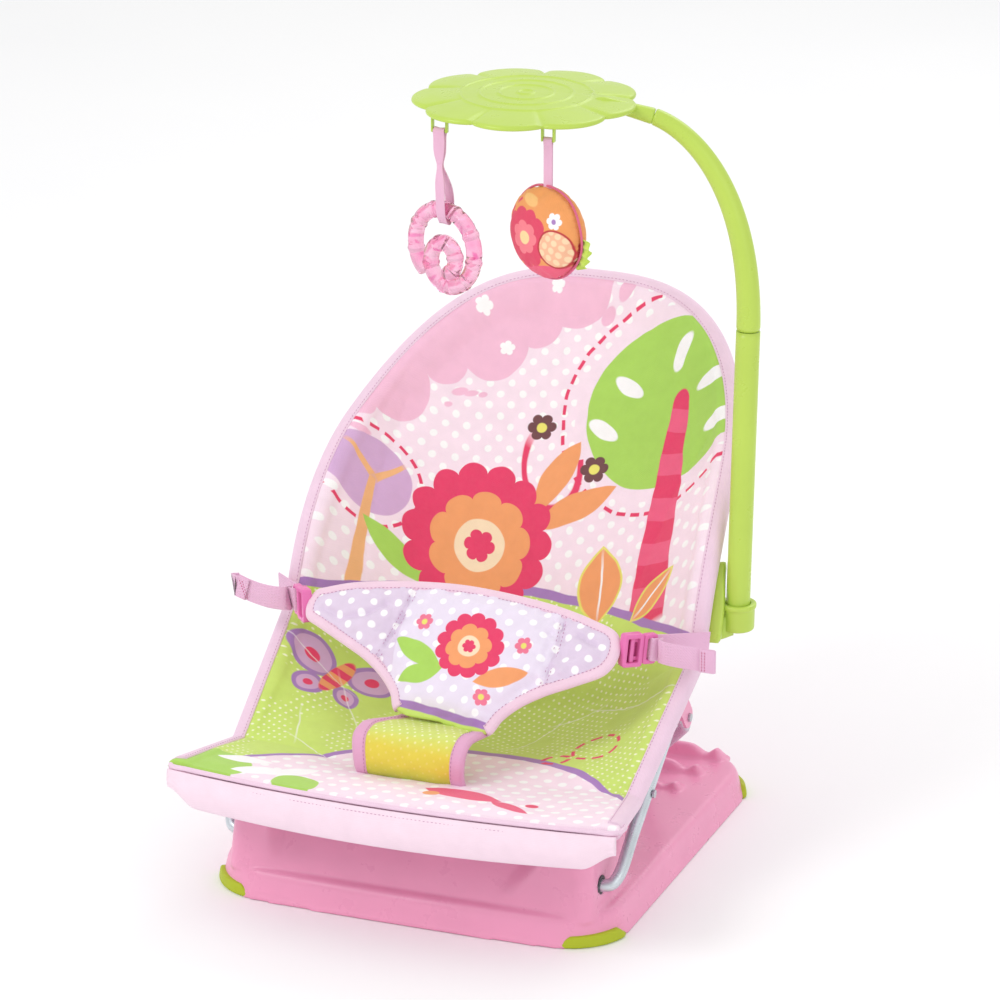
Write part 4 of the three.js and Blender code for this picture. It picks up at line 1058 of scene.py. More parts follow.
def make_binding(material, thread):
    """The pale band that wraps the tubes along both sides and over the top."""
    insets = [BINDING_WIDTH, BINDING_WIDTH - 0.4, 12, 9, 6.5, 4.4, 2.8, 1.6, 0.8, 0.3, 0]
    section = [(i, 1) for i in insets] + [(i, -1) for i in reversed(insets[:-1])]
    shares = np.concatenate([np.linspace(0.035, 1, 90), 1 + np.linspace(0.01, 1, 90)])
    rings, lines = [], {1: [], -1: []}
    for share in shares:
        ring = []
        for k, (inset, face) in enumerate(section):
            end = k in (0, len(section) - 1)
            lift = face * (float(nose(inset, SLEEVE_HALF)) + (0.0 if end else 0.75))
            ring.append(sleeve_point(share, inset - (0 if end else 0.3), lift))
        rings.append(ring)
        for face in lines:
            lines[face].append(sleeve_point(share, BINDING_WIDTH - 2.2, face * (SLEEVE_HALF + 0.95)))
    piece = loft("edge_binding", both_sides(rings), material)
    stitch_line("edge_binding_stitches", [both_sides(lines[face]) for face in (1, -1)], thread, piece)
    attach(piece, "seat_frame")


def stitch_line(name, lines, material, parent, length=2.6, gap=1.5, radius=0.32):
    """Short raised stitches along lines, carried by the parent piece."""
    rings = []
    for line in lines:
        line = np.asarray(line, float)
        long = np.linalg.norm(np.diff(line, axis=0), axis=1).sum()
        count = max(2, int(long / (length + gap)))
        fine = resample(line, count * 4 + 1)
        for k in range(count):
            part = fine[k * 4:k * 4 + 4]
            middle = part.mean(0)
            part = middle + (part - middle) * (length / (length + gap)) * 1.2
            _, across, ups = carried_frames(part, None)
            for i, thin in enumerate((0.35, 1, 1, 0.35)):
                ring = [part[i] + radius * thin * (math.cos(a) * across[i] + math.sin(a) * ups[i])
                        for a in np.radians((0, 90, 180, 270))]
                rings.append(ring)
    rings = np.array(rings).reshape(-1, 4, 4, 3)
    faces, points = [], rings.reshape(-1, 3)
    for k in range(len(rings)):
        base = k * 16
        for r in range(3):
            for c in range(4):
                faces.append(tuple(base + v for v in (r * 4 + c, r * 4 + (c + 1) % 4,
                                                      r * 4 + 4 + (c + 1) % 4, r * 4 + 4 + c)))
        faces.append((base, base + 1, base + 2, base + 3))
        faces.append((base + 15, base + 14, base + 13, base + 12))
    mesh_object(name, points, faces, material).parent = parent


def lip_line(x, lift=0.0, out=0.0):
    """The front edge of the seat: it bows forward and its ends turn back."""
    y = hem_y(x) + 4 - out
    return at(x, y, LIP_CORNER_Z + LIP_RISE * (1 - (x / LIP_HALF) ** 2) + lift)


LIP_PLACES = np.linspace(-LIP_HALF, LIP_HALF, 161)
PIPING_POINTS = 260
HEM_BOTTOM = 106.0


def make_lip_piping(material):
    corner = [at(LIP_HALF - 1, LIP_CORNER_Y + 14, 142), at(LIP_HALF - 5, LIP_CORNER_Y + 30, 140)]
    front = [lip_line(x, 1.5, 0.6) for x in LIP_PLACES[2:-2:6]]
    path = smooth_path([p * MIRROR for p in corner[::-1]] + front + corner, PIPING_POINTS)
    share = np.linspace(0, 1, PIPING_POINTS)
    ends = step(0, 0.02, share) * step(0, 0.02, np.linspace(1, 0, PIPING_POINTS))
    pipe = sweep("lip_piping", path, round_section(2.5, 14), material, up=(0, 0, 1),
                 scale=0.3 + 0.7 * ends)
    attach(pipe, "seat_frame")


def make_front_hem(material, thread):
    """The padded band that hangs from the front edge over the front rail."""
    rows = np.linspace(0, 1, 25)
    u = np.linspace(-1, 1, 161)
    grid = []
    for side in (1, -1):
        for t in rows if side > 0 else rows[::-1]:
            x = u * (LIP_HALF - 2)
            fullness = math.sin(math.pi * min(t * 1.02, 1)) ** 0.8
            end = step(1, 0.86, np.abs(u))
            drop = LIP_CORNER_Z - 1 - t * (LIP_CORNER_Z - 1 - HEM_BOTTOM)
            z = drop + (1 - t) * LIP_RISE * (1 - u ** 2) + t * 16 * (1 - end)
            place = np.stack([x, 0 * x + 40 * t, 0 * x + side * 9], -1)
            fold = wobble(place, 0.022, 8) * 1.6 + wobble(place, 0.06, 9) * 0.7
            fold += 1.6 * (1 - end) * wobble(place, 0.14, 10)
            out = (5.2 * fullness * (0.35 + 0.65 * end) + fold * fullness) if side > 0 else 0.8
            y = hem_y(x) - (out if side > 0 else -out)
            grid.append(np.stack([x, y - CENTRE_Y, z], -1))
    grid = np.array(grid).transpose(1, 0, 2)
    hem = loft("front_hem_band", grid, material)
    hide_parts("front_hem")
    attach(hem, "seat_frame")
    line = [lip_line(x, -5.5, 6.2 * (1 - (x / LIP_HALF) ** 8)) for x in LIP_PLACES[6:-6]]
    stitch_line("lip_stitches", [line], thread, hem)


def print_sky(p):
    """Dots, and a cloud bank at the top left."""
    p.lay(p.dots(23.0, 3.9, 12), WHITE)
    lobes = [((-183, 272), 38), ((-216, 236), 26), ((-142, 318), 25), ((-97, 350), 38),
             ((-56, 384), 27), ((-20, 424), 40)]
    bank = p.both(p.outside(p.below(452, 0.95)), p.disc((-140, 420), (160, 220)))
    p.lay(p.either(bank, *[p.disc(c, r) for c, r in lobes]), CLOUD)
    puffs = [((-131, 302), (10, 6), 25), ((-118, 292), (9, 4), 25), ((-106, 294), (8, 3), 25),
             ((-94, 296), (5, 3), 25), ((-126, 276), (4, 2.5), 20), ((-194, 204), (8, 4), 15),
             ((20, 400), (7, 10), -20), ((36, 424), (7, 12), -25), ((50, 436), (4, 6), -25)]
    p.lay(p.either(*[p.disc(*puff) for puff in puffs]), CLOUD)
    for centre, radius in (((-113, 384), 9.5), ((-81, 350), 8), ((-188, 290), 6.5), ((-40, 420), 7)):
        p.lay(p.blossom(centre, radius, 5, 18, 0.35), WHITE)


def print_trees(p):
    """A large round tree on the right and a small one on the left."""
    p.lay(p.disc((112, 306), 104), PRINT_PINK)
    p.lay(p.dashes((112, 306), (117, 117), 2.0, 44), CRIMSON)
    p.lay(p.disc((114, 306), (93, 91)), CROWN)
    for centre, turn in (((116, 360), -12), ((62, 326), 62), ((160, 330), -52), ((44, 280), 66),
                         ((182, 278), -58)):
        p.lay(p.disc(centre, (8, 19), turn), WHITE)
    trunk = p.either(p.bar((138, 185), (17, 122), 5, 0.45), p.disc((127, 306), (9.5, 16), 4))
    p.lay(trunk, CRIMSON)
    slant = p.math("MULTIPLY", p.x, 0.008)
    stripe = p.math("PINGPONG", p.math("MULTIPLY_ADD", p.y, 1 / 24, slant), 1.0)
    p.lay(p.both(trunk, p.band(stripe, 0.49, 0.51)), srgb(240, 92, 132))
    p.lay(p.dashes((-178, 168), (48, 48), 1.8, 20), CRIMSON)
    p.lay(p.disc((-177, 168), (38, 37)), LILAC)
    p.lay(p.either(p.bar((-173, 108), (5.5, 62), 3, 0.4), p.bar((-189, 176), (3, 16), 55, 0.3),
                   p.bar((-163, 180), (3, 18), -38, 0.3)), srgb(246, 184, 128))


def print_hill(p):
    """The green hill with its purple rim, where the back turns into the seat."""
    curve = p.math("MULTIPLY", p.math("MULTIPLY", p.x, p.x), 0.0018)
    high = p.math("ADD", p.y, curve)
    p.lay(p.band(high, 112.5, 111.5), PURPLE)
    field = p.band(high, 103.5, 102.5)
    p.lay(field, FIELD)
    p.lay(p.both(field, p.both(p.dots(10.5, 1.25, 20), p.band(p.patch, 0.46, 0.5))),
          srgb(246, 250, 214))


def print_flowers(p):
    """A large flower and two small ones in the middle, and leaves behind the pad."""
    p.lay(p.dashes((-2, 236), (30, 46), 3.2, 0.5, 200), CRIMSON)
    p.lay(p.leaf((34, 196), (15, 48), -58), ORANGE)
    p.lay(p.leaf((6, 226), (15, 44), -22), ORANGE)
    p.lay(p.leaf((-140, 108), (13, 40), 62), CROWN)
    p.lay(p.blossom((-62, 148), 80, 14, 5, 0.14), CRIMSON)
    p.lay(p.blossom((-60, 144), 55, 9, 12, 0.16), ORANGE)
    p.lay(p.disc((-60, 144), 27), srgb(252, 224, 190))
    p.lay(p.blossom((-60, 144), 17, 6, 0, 0.3), CRIMSON)
    for centre in ((44, 238), (-24, 276)):
        p.lay(p.blossom(centre, 15, 6, 10, 0.3), BROWN)
        p.lay(p.disc(centre, 15 * 0.36), YELLOW)
    for centre, radii, turn in (((82, 116), (23, 40), 8), ((150, 94), (12, 28), -46)):
        p.lay(p.leaf(centre, (radii[0] + 2.5, radii[1] + 3), turn), YELLOW)
        p.lay(p.leaf(centre, radii, turn), ORANGE)
        p.lay(p.bar(centre, (1.1, radii[1] * 0.72), turn), WHITE)


def print_butterfly(p):
    """A butterfly on the left of the seat."""
    wings = [((-186, -44), (22, 26), 30), ((-130, -36), (20, 24), -50), ((-178, -84), (14, 17), -20),
             ((-142, -76), (13, 17), 30)]
    for centre, radii, turn in wings:
        p.lay(p.disc(centre, radii, turn), PURPLE)
        p.lay(p.disc(centre, (radii[0] - 4.5, radii[1] - 4.5), turn), LILAC)
        p.lay(p.disc(centre, (radii[0] * 0.3, radii[1] * 0.3), turn), CRIMSON)
    body = p.disc((-159, -54), (8.5, 30), -14)
    p.lay(body, ORANGE)
    rung = p.math("PINGPONG", p.math("MULTIPLY", p.y, 1 / 9), 1.0)
    p.lay(p.both(body, p.band(rung, 0.45, 0.55)), CRIMSON)


def print_front(p):
    """Near the lip: a purple rim, a pale ground and a few leaves."""
    off = p.math("ADD", p.x, -35.0)
    low = p.math("ADD", p.y, p.math("MULTIPLY", p.math("MULTIPLY", off, off), 0.0031))
    p.lay(p.band(low, -117.5, -118.5), PURPLE)
    ground = p.band(low, -127.5, -128.5)
    p.lay(ground, PRINT_PINK)
    p.lay(p.both(ground, p.dots(25.0, 4.4, 30)), WHITE)
    p.lay(p.disc((-214, -300), (62, 42), 10), CROWN)
    for centre, turn in (((-142, -292), -64), ((-112, -276), -40), ((-170, -268), -80)):
        p.lay(p.leaf(centre, (11, 30), turn), WHITE)
    p.lay(p.disc((-96, -306), (24, 22)), CROWN)
    for centre, radii, turn in (((62, -262), (15, 44), 78), ((118, -286), (9, 26), 60)):
        p.lay(p.leaf(centre, radii, turn), srgb(236, 84, 124))
    p.lay(p.disc((32, -268), (8, 8)), ORANGE)
    p.lay(p.disc((134, -268), (6, 6)), CRIMSON)


def print_lines(p):
    """A dashed curl over the seat's right side, and the white quilting thread."""
    p.lay(p.dashes((144, -104), (24, 25), 2.0, 8), CRIMSON)
    p.lay(p.dashes((108, -128), (14, 9), 1.9, 4, 20), CRIMSON)
    for seam in QUILTED:
        for a, b in zip(seam, seam[1:]):
            a, b = np.array(a, float), np.array(b, float)
            turn = math.degrees(math.atan2(b[1] - a[1], b[0] - a[0])) - 90
            centre = tuple((a + b) / 2)
            p.lay(p.both(p.bar(centre, (0.7, np.linalg.norm(b - a) / 2), turn), 0.6), WHITE)


def cover_print():
    """The cover's printed scene, laid from the back to the front."""
    p = Print("cover_print", PRINT_PINK)
    for motif in (print_sky, print_trees, print_hill, print_flowers, print_butterfly, print_front,
                  print_lines):
        motif(p)
    return p.done()


def make_cover_and_edges():
    binding = cloth("binding_cloth", BINDING, 0.9, 0.25, 0.72)
    hem = cloth("hem_cloth", PALE, 0.8, 0.2, 0.7)
    rear = cloth("rear_cloth", srgb(240, 200, 222), 1.0, 0.25, 0.85)
    thread = cloth("mauve_thread", srgb(196, 132, 176), 0.5, 0.2, 0.6)
    make_cover(cover_print(), rear)
    make_binding(binding, thread)
    make_lip_piping(binding)
    make_front_hem(hem, thread)


make_cover_and_edges()

# ---- toy bar -------------------------------------------------------------------------------
POST_LEAN = math.radians(3.5)
POST_FOOT = (243, 70, 241)
POST_RADIUS = 12.0
ARCH_RADIUS = 8.5               # at the arch's thin end
SEAM_HEIGHT = (543 - 241) / math.cos(POST_LEAN)
ARCH_END = at(145, 83, 752)
FLOWER_X, FLOWER_Y, FLOWER_Z = at(19, 62, 764)
PETALS = 9
FLOWER_RINGS = (8.0, 27.0, 46.0, 65.0)
FLOWER_TIP = 112                # radius at a petal's tip
FLOWER_NOTCH = 11               # how far the rim draws in between petals
EYE_HEIGHT = 747
RIBBON_TOP = 749.3              # the ribbons' height where they pass over the pins
TEETHER_EYE = at(-38, -22, EYE_HEIGHT)
PLUSH_EYE = at(72, -16, EYE_HEIGHT)


def leaning(height):
    """A point of the toy bar's post, at a height along it."""
    x, y, z = POST_FOOT
    return at(x, y + height * math.sin(POST_LEAN), z + height * math.cos(POST_LEAN))


def bezier(a, b, c, d, count):
    t = np.linspace(0, 1, count)[:, None]
    return a * (1 - t) ** 3 + 3 * b * t * (1 - t) ** 2 + 3 * c * t ** 2 * (1 - t) + d * t ** 3


def strap(name, path, wide, width, thickness, material, closed=False, spread=None):
    """A flat strap along a path; wide is the direction of its width, spread scales the width."""
    path = np.asarray(path, float)
    tangent = carried_frames(path, (0.3, 0.2, 0.9), closed)[0]
    wide = np.broadcast_to(np.asarray(wide, float), path.shape)
    wide = unit(wide - tangent * np.sum(wide * tangent, -1, keepdims=True))
    thin = np.cross(tangent, wide)
    section = np.array(band_section(width, thickness))
    spread = np.ones(len(path)) if spread is None else spread
    grid = (path[:, None] + spread[:, None, None] * section[None, :, :1] * wide[:, None]
            + section[None, :, 1:] * thin[:, None])
    return loft(name, grid, material, closed=closed)


def make_toy_bar(green):
    path = [leaning(h) for h in np.linspace(0.5, SEAM_HEIGHT - 0.4, 40)]
    post = tube("toy_bar_post_fine", path, POST_RADIUS, green, 44, 2.5)
    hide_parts("toy_bar_post")
    start = leaning(SEAM_HEIGHT + 0.4)
    path = bezier(start, leaning(SEAM_HEIGHT + 130), at(190, 90, 737), ARCH_END, 110)
    radius = POST_RADIUS + (ARCH_RADIUS - POST_RADIUS) * np.linspace(0, 1, 110)
    radius[[0, -1]] -= 0.8
    arch = sweep("toy_bar_arch_fine", path, round_section(1.0, 44), green, scale=radius)
    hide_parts("toy_bar_arch")
    for piece in (post, arch):
        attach(piece, "toy_bar")


def flower_height(radius, share, petal):
    """Top of the flower: a soft dome with moulded rings and a crease between petals."""
    height = 5.6 - 5.0 * share ** 3
    for ring in FLOWER_RINGS:
        height = height + 1.3 * np.exp(-((radius - ring) / 1.7) ** 2)
    crease = np.exp(-(radius * petal / (PETALS / 2) / 3.2) ** 2) * step(58, 96, radius)
    return height - 1.8 * crease


def flower_skin():
    """Rings of points over the flower's top and back along its underside."""
    angle = np.linspace(0, 2 * math.pi, 36 * PETALS, endpoint=False)
    petal = np.abs(np.cos(angle * PETALS / 2))
    rim = FLOWER_TIP - FLOWER_NOTCH * (1 - petal ** 0.7)
    rows = []
    for share in np.concatenate([np.linspace(0.004, 0.96, 110), [0.975, 0.988, 0.996, 1.0]]):
        lip = float(nose((1 - share) * 110, 3.0)) / 3.0
        radius = rim * share
        top = flower_height(radius, share, petal)
        rows.append((radius, -2.0 + (top + 2.0) * lip))
    for share in np.concatenate([[0.996, 0.985, 0.97], np.linspace(0.94, 0.004, 24)]):
        lip = float(nose((1 - share) * 110, 3.0)) / 3.0
        rows.append((rim * share, -2.0 - (2.4 - 3.4 * (1 - share ** 2)) * lip + 0 * rim))
    return [np.stack([FLOWER_X + r * np.cos(angle), FLOWER_Y + r * np.sin(angle), FLOWER_Z + h], -1)
            for r, h in rows]


def make_flower(green):
    """The flower canopy, the ridge that joins it to the arch, and the toys' lugs and pins."""
    parts = [loft("flower_canopy_fine", flower_skin(), green)]
    root = at(88, 69, 767)
    ridge = np.linspace(ARCH_END + np.array([-0.5, 0, 0.2]), root, 26)
    share = np.linspace(0, 1, 26)
    size = 8.3 - 3.0 * share
    size[0] = 7.6
    size[-4:] *= (0.93, 0.8, 0.6, 0.3)
    parts.append(sweep("ridge", ridge, round_section(1.0, 32), green, scale=size))
    for eye, width in ((TEETHER_EYE, 12), (PLUSH_EYE, 9)):
        for side in (-1, 1):
            x = eye[0] + side * (width / 2 + 1.4)
            path = [(x, eye[1], z) for z in np.linspace(FLOWER_Z - 1, eye[2] - 1.5, 8)]
            parts.append(strap("lug", path, (0, 1, 0), 6, 2, green))
        pin = [eye + np.array([x, 0, 0]) for x in np.linspace(-width / 2 - 2, width / 2 + 2, 6)]
        parts.append(sweep("pin", pin, round_section(1.2, 12), green))
    flower = joined("flower_canopy_fine", parts)
    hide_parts("flower_canopy")
    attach(flower, "toy_bar")


def arch_angle(along):
    """The arch angle, in shares of a right angle, whose edge is this far up the back."""
    return math.degrees(math.asin((along / BACK) ** (ARCH_POWER / 2))) / 90


def make_socket(green):
    """The toy bar's socket: a turned cup, a plate along the side tube and an arm between them."""
    profile = [(2, -4), (15.6, -4), (16.6, -3.2), (17, -2), (17, 17), (17.3, 18), (18.2, 18.8),
               (18.4, 20), (18.4, 22), (17.9, 22.9), (17, 23.2), (13.4, 23.2), (12.6, 22.4),
               (12.5, 20), (12.5, 1), (2, 0.2)]
    angle = np.linspace(0, 2 * math.pi, 56, endpoint=False)
    grid = []
    for radius, height in profile:
        centre = leaning(height)
        grid.append([centre + radius * np.array([math.cos(a), math.sin(a), 0]) for a in angle])
    parts = [loft("toy_bar_socket_fine", grid, green)]
    rows = []
    for t in np.linspace(0, 1, 30):
        share = 1 + arch_angle(24 + 86 * t)
        end = step(0, 0.06, t) * step(0, 0.06, 1 - t)
        out = (9.5 - 6.0 * step(0.25, 1, t)) * (0.75 + 0.25 * end)
        half = 4.5 * (0.72 + 0.28 * end)
        corner = [(13, -half + 1), (13, half - 1), (12, half), (-out + 1.6, half),
                  (-out, half - 1.6), (-out, -half + 1.6), (-out + 1.6, -half), (12, -half)]
        rows.append([sleeve_point(share, inset, -14.2 + lift) for inset, lift in corner])
    parts.append(loft("plate", rows, green))
    arm = smooth_path([at(218, 48, 238), at(228, 54, 240), at(238, 62, 243)], 12)
    parts.append(strap("arm", arm, (0, 0.1, 1), 24, 9, green))
    socket = joined("toy_bar_socket_fine", parts)
    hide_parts("toy_bar_socket")
    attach(socket, "seat_frame")


def make_bar():
    green = plastic("green_plastic", GREEN, 0.3, 0.08, 0.86)
    make_toy_bar(green)
    make_flower(green)
    make_socket(green)
    return green


GREEN_PLASTIC = make_bar()

# ---- soft forms ----------------------------------------------------------------------------
SOFT_VOXEL = 4.0
SLACK = 0.05                    # how much larger than its start the cloth is cut
FRAMES = 20


def swell(piece, held, pressure, cap):
    """Blows a closed cloth form up with a cloth simulation, by at most about cap millimetres."""
    start = mesh_points(piece)
    group = piece.vertex_groups.new(name="held")
    group.add([int(k) for k in np.nonzero(held(start))[0]], 1.0, "REPLACE")
    settings = piece.modifiers.new("cloth", "CLOTH").settings
    settings.quality = 6
    settings.mass = 0.2
    settings.tension_stiffness = 15
    settings.compression_stiffness = 15
    settings.shear_stiffness = 5
    settings.bending_stiffness = 0.4
    settings.use_pressure = True
    settings.uniform_pressure_force = pressure
    settings.shrink_min = -SLACK
    settings.vertex_group_mass = "held"
    settings.effector_weights.gravity = 0.0
    scene = bpy.context.scene
    for number in range(1, FRAMES + 1):
        scene.frame_set(number)
    graph = bpy.context.evaluated_depsgraph_get()
    swollen = bpy.data.meshes.new_from_object(piece.evaluated_get(graph))
    piece.modifiers.clear()
    points = np.zeros(len(swollen.vertices) * 3)
    swollen.vertices.foreach_get("co", points)
    bpy.data.meshes.remove(swollen)
    moved = points.reshape(-1, 3) / MM - start
    far = np.linalg.norm(moved, axis=1, keepdims=True)
    set_points(piece, start + moved * cap * np.tanh(far / cap) / np.maximum(far, 1e-6))
    piece.vertex_groups.clear()
    scene.frame_set(1)


def inflate(piece, held, pressure, cap):
    """Evens out a closed form and swells it; held tells which points stay at their seams."""
    bake(piece, ("REMESH", {"mode": "VOXEL", "voxel_size": SOFT_VOXEL * MM, "use_smooth_shade": True}))
    swell(piece, held, pressure, cap)
    bake(piece, ("SUBSURF", {"levels": 1}))


def map_print(piece, origin, across, up):
    """Lays the print on a piece by its distances from an origin, across and up."""
    places = mesh_points(piece) - np.asarray(origin, float)
    lay_print(piece, np.stack([places @ np.asarray(across, float), places @ np.asarray(up, float)], 1))


# ---- hanging toys --------------------------------------------------------------------------
Z_AXIS = np.array([0, 0, 1.0])


def level_axes(turn):
    """The directions across and out of the front of a toy that hangs turned about its ribbon."""
    turn = math.radians(turn)
    return (np.array([math.cos(turn), math.sin(turn), 0]),
            np.array([math.sin(turn), -math.cos(turn), 0]))


def below_eye(eye, height):
    """The point straight above or below an eye at a height."""
    return np.array([eye[0], eye[1], height])


TEETHER_ALONG, TEETHER_FRONT = level_axes(-23)
TEETHER_CENTRE = at(-33, -22, 630)
# The teether's tube, across and up from its centre: an outer turn that curls into an inner one.
TEETHER_LINE = [(-25, -31), (-34, -20), (-38, -6), (-36, 12), (-27, 27), (-13, 36), (2, 39),
                (18, 34), (30, 24), (37, 8), (37, -8), (32, -22), (21, -34), (6, -40), (-8, -36),
                (-17, -25), (-17, -11), (-9, 1), (4, 5), (14, -2), (16, -14), (9, -24), (1, -25)]
TEETHER_POINTS = 660
TEETHER_LENGTH = 620            # of the curled line
TEETHER_TUBE = 8.0
SEGMENTS = 12


def clear_plastic(name, colour):
    """Tinted clear plastic with liquid in it: cloudy inside, glossy outside."""
    s = Shader(name, 0.08, IOR=1.38, Transmission_Weight=0.9, Coat_Weight=0.4, Coat_Roughness=0.08)
    place = s.place()
    cloud = s.band(s.noise(place, 0.06, 1.0), 0.35, 0.65)
    spot = s.band(s.noise(place, 0.1, 1.0), 0.62, 0.72)
    tint = s.mix(cloud, colour, srgb(255, 206, 228))
    tint = s.mix(spot, tint, srgb(240, 90, 164))
    gloss = s.band(s.noise(place, 0.2, 2.0), 0.3, 0.7, 0.04, 0.12)
    return s.finish(tint, gloss, s.bump(s.noise(place, 0.12, 1.0), 0.1, 0.0006))


def make_teether_ring():
    """The clear curled tube, with a raised joint and a groove at the end of each segment."""
    flat = smooth_path([(a, 0, b) for a, b in TEETHER_LINE], TEETHER_POINTS)
    share = np.linspace(0, 1, TEETHER_POINTS)
    depth = 2.5 * np.sin(share * 9.0)
    path = (TEETHER_CENTRE + flat[:, :1] * TEETHER_ALONG + depth[:, None] * TEETHER_FRONT
            + flat[:, 2:] * Z_AXIS)
    beat = np.abs((share * SEGMENTS) % 1 - 0.5) * 2
    joint = np.exp(-((1 - beat) / 0.15) ** 2)
    groove = np.exp(-((1 - beat - 0.34) / 0.08) ** 2)
    radius = TEETHER_TUBE * (1 + 0.1 * joint - 0.05 * groove)
    gone = np.minimum(share, 1 - share) * TEETHER_LENGTH
    radius = radius * np.sqrt(np.clip(1 - (1 - np.clip(gone / TEETHER_TUBE, 0, 1)) ** 2, 0.003, 1))
    ring = sweep("teether_ring_fine", path, round_section(1.0, 26),
                 clear_plastic("teether_plastic", srgb(255, 168, 208)), up=TEETHER_FRONT, scale=radius)
    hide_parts("teether_ring")
    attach(ring, "teether")


def make_teether_ribbon(ribbon_cloth):
    """A ribbon folded over the eye, gathered, then looped under the top of the ring."""
    half = [(0, 2.1, EYE_HEIGHT), (0, 1.2, 741), (0, 1.1, 724), (0.8, 1.0, 712), (4, 4.5, 701),
            (9, 9, 688), (11, 10.6, 673), (11, 9.2, 663), (10, 4.8, 657)]
    rear = [(a * 0.25, -n, z) for a, n, z in reversed(half)]
    loop = half + [(7, 0, 655.4)] + rear + [(0, 0, RIBBON_TOP)]
    points = [below_eye(TEETHER_EYE, z) + a * TEETHER_ALONG + n * TEETHER_FRONT
              for a, n, z in loop + loop[:1]]
    path = smooth_path(points, 200)[:-1]
    down = step(735, 690, path[:, 2])[:, None]
    wide = unit(np.array([1.0, 0, 0]) * (1 - down) + TEETHER_ALONG * down)
    gather = 1 - 0.45 * np.exp(-((path[:, 2] - 711) / 10) ** 2)
    band = strap("teether_ribbon_fine", path, wide, 12, 1.3, ribbon_cloth, closed=True, spread=gather)
    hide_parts("teether_ribbon")
    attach(band, "teether")


PLUSH_ALONG, PLUSH_FRONT = level_axes(-25)
PLUSH_RADIUS = 49.0
PLUSH_CENTRE = below_eye(PLUSH_EYE, 704 - PLUSH_RADIUS)
PLUSH_ANGLES = np.linspace(0, 2 * math.pi, 72, endpoint=False)


def plush_point(angle, radius, lift):
    return (PLUSH_CENTRE + radius * math.cos(angle) * PLUSH_ALONG + lift * PLUSH_FRONT
            + radius * math.sin(angle) * Z_AXIS)


def plush_print():
    p = Print("plush_print", srgb(240, 158, 92))
    p.lay(p.below(-30, 0.12), srgb(240, 92, 126))
    p.lay(p.blossom((-11, -4), 30, 11, 8, 0.12), srgb(226, 66, 100))
    p.lay(p.blossom((-12, -4), 17, 7, 0, 0.2), srgb(246, 128, 140))
    p.lay(p.disc((-12, -4), 7), srgb(250, 220, 160))
    p.lay(p.disc((26, -9), (19, 20)), srgb(190, 44, 56))
    patch = p.disc((26, -9), (17, 18))
    p.lay(patch, srgb(246, 186, 150))
    p.lay(p.both(patch, p.dots(12.0, 3.2, 20)), srgb(250, 216, 176))
    p.lay(p.blossom((25, 19), 8, 6, 0, 0.3), WHITE)
    p.lay(p.disc((25, 19), 2.4), PURPLE)
    p.lay(p.dashes((0, 0), (38, 38), 1.4, 18, 0, 0.8, 0.99), CRIMSON)
    p.lay(p.disc((-8, 33), (11, 5), -10), srgb(246, 190, 120))
    return p.done(0.9, 0.3)


def make_plush_disc():
    """The stuffed disc, gathered at the seam round its rim."""
    rows = []
    for t in np.linspace(0.02, 0.98, 25):
        lift = 18 * math.sin((t - 0.5) * math.pi)
        radius = (PLUSH_RADIUS - 4) * math.cos((t - 0.5) * math.pi) ** 0.55
        rows.append([plush_point(a, radius, lift) for a in PLUSH_ANGLES])
    disc = loft("plush_disc_fine", rows, None)

    def held(points):
        away = (points - PLUSH_CENTRE) @ PLUSH_FRONT
        return np.abs(away) < 2.6

    inflate(disc, held, 4.0, 6.0)
    points = mesh_points(disc)
    away = (points - PLUSH_CENTRE) @ PLUSH_FRONT
    flat = points - PLUSH_CENTRE - away[:, None] * PLUSH_FRONT
    out = unit(flat)
    pucker = wobble(out * 46, 0.21, 4) * np.exp(-(away / 8) ** 2)
    seam = np.exp(-(away / 2.2) ** 2)
    set_points(disc, points + out * (1.5 * pucker - 1.2 * seam)[:, None])
    map_print(disc, PLUSH_CENTRE, PLUSH_ALONG, (0, 0, 1))
    dress(disc, plush_print())
    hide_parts("plush_disc")
    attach(disc, "plush")


def make_plush_edge():
    """The piping round the disc, and the wavy frill on its right side."""
    rim = [plush_point(a, PLUSH_RADIUS - 2.6, 0.8 * math.sin(5 * a)) for a in PLUSH_ANGLES]
    edge_cloth = cloth("plush_edge", srgb(222, 104, 140))
    piping = sweep("plush_piping", rim, round_section(1.2, 12), edge_cloth, up=PLUSH_FRONT,
                   closed=True)
    frill_rows = []
    for t in np.linspace(0, 1, 60):
        angle = math.radians(-38 + 40 * t)
        wave = 2.6 * math.sin(t * 26)
        tall = 7.5 * min(1, 5 * t, 5 * (1 - t)) + 0.5
        inner, outer = PLUSH_RADIUS - 4, PLUSH_RADIUS - 1 + tall
        frill_rows.append([plush_point(angle, inner, -1.6), plush_point(angle, outer, -1.6 + wave),
                           plush_point(angle, outer, -3.0 + wave), plush_point(angle, inner, -3.0)])
    frill = loft("plush_frill", frill_rows, cloth("frill_cloth", srgb(206, 230, 100), 0.7))
    for piece in (piping, frill):
        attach(piece, "plush")


def make_plush_ribbon(ribbon_cloth):
    """The ribbon that runs from the disc over the eye's pin and back."""
    half = [(2.1, EYE_HEIGHT), (1.1, 741), (0.9, 725), (0.8, 708), (0.7, 697)]
    line = half[::-1] + [(0, RIBBON_TOP)] + [(-n, z) for n, z in half]
    path = smooth_path([below_eye(PLUSH_EYE, z) + np.array([0, n, 0]) for n, z in line], 90)
    band = strap("plush_ribbon_fine", path, (1, 0, 0), 9, 1.2, ribbon_cloth)
    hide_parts("plush_ribbon")
    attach(band, "plush")


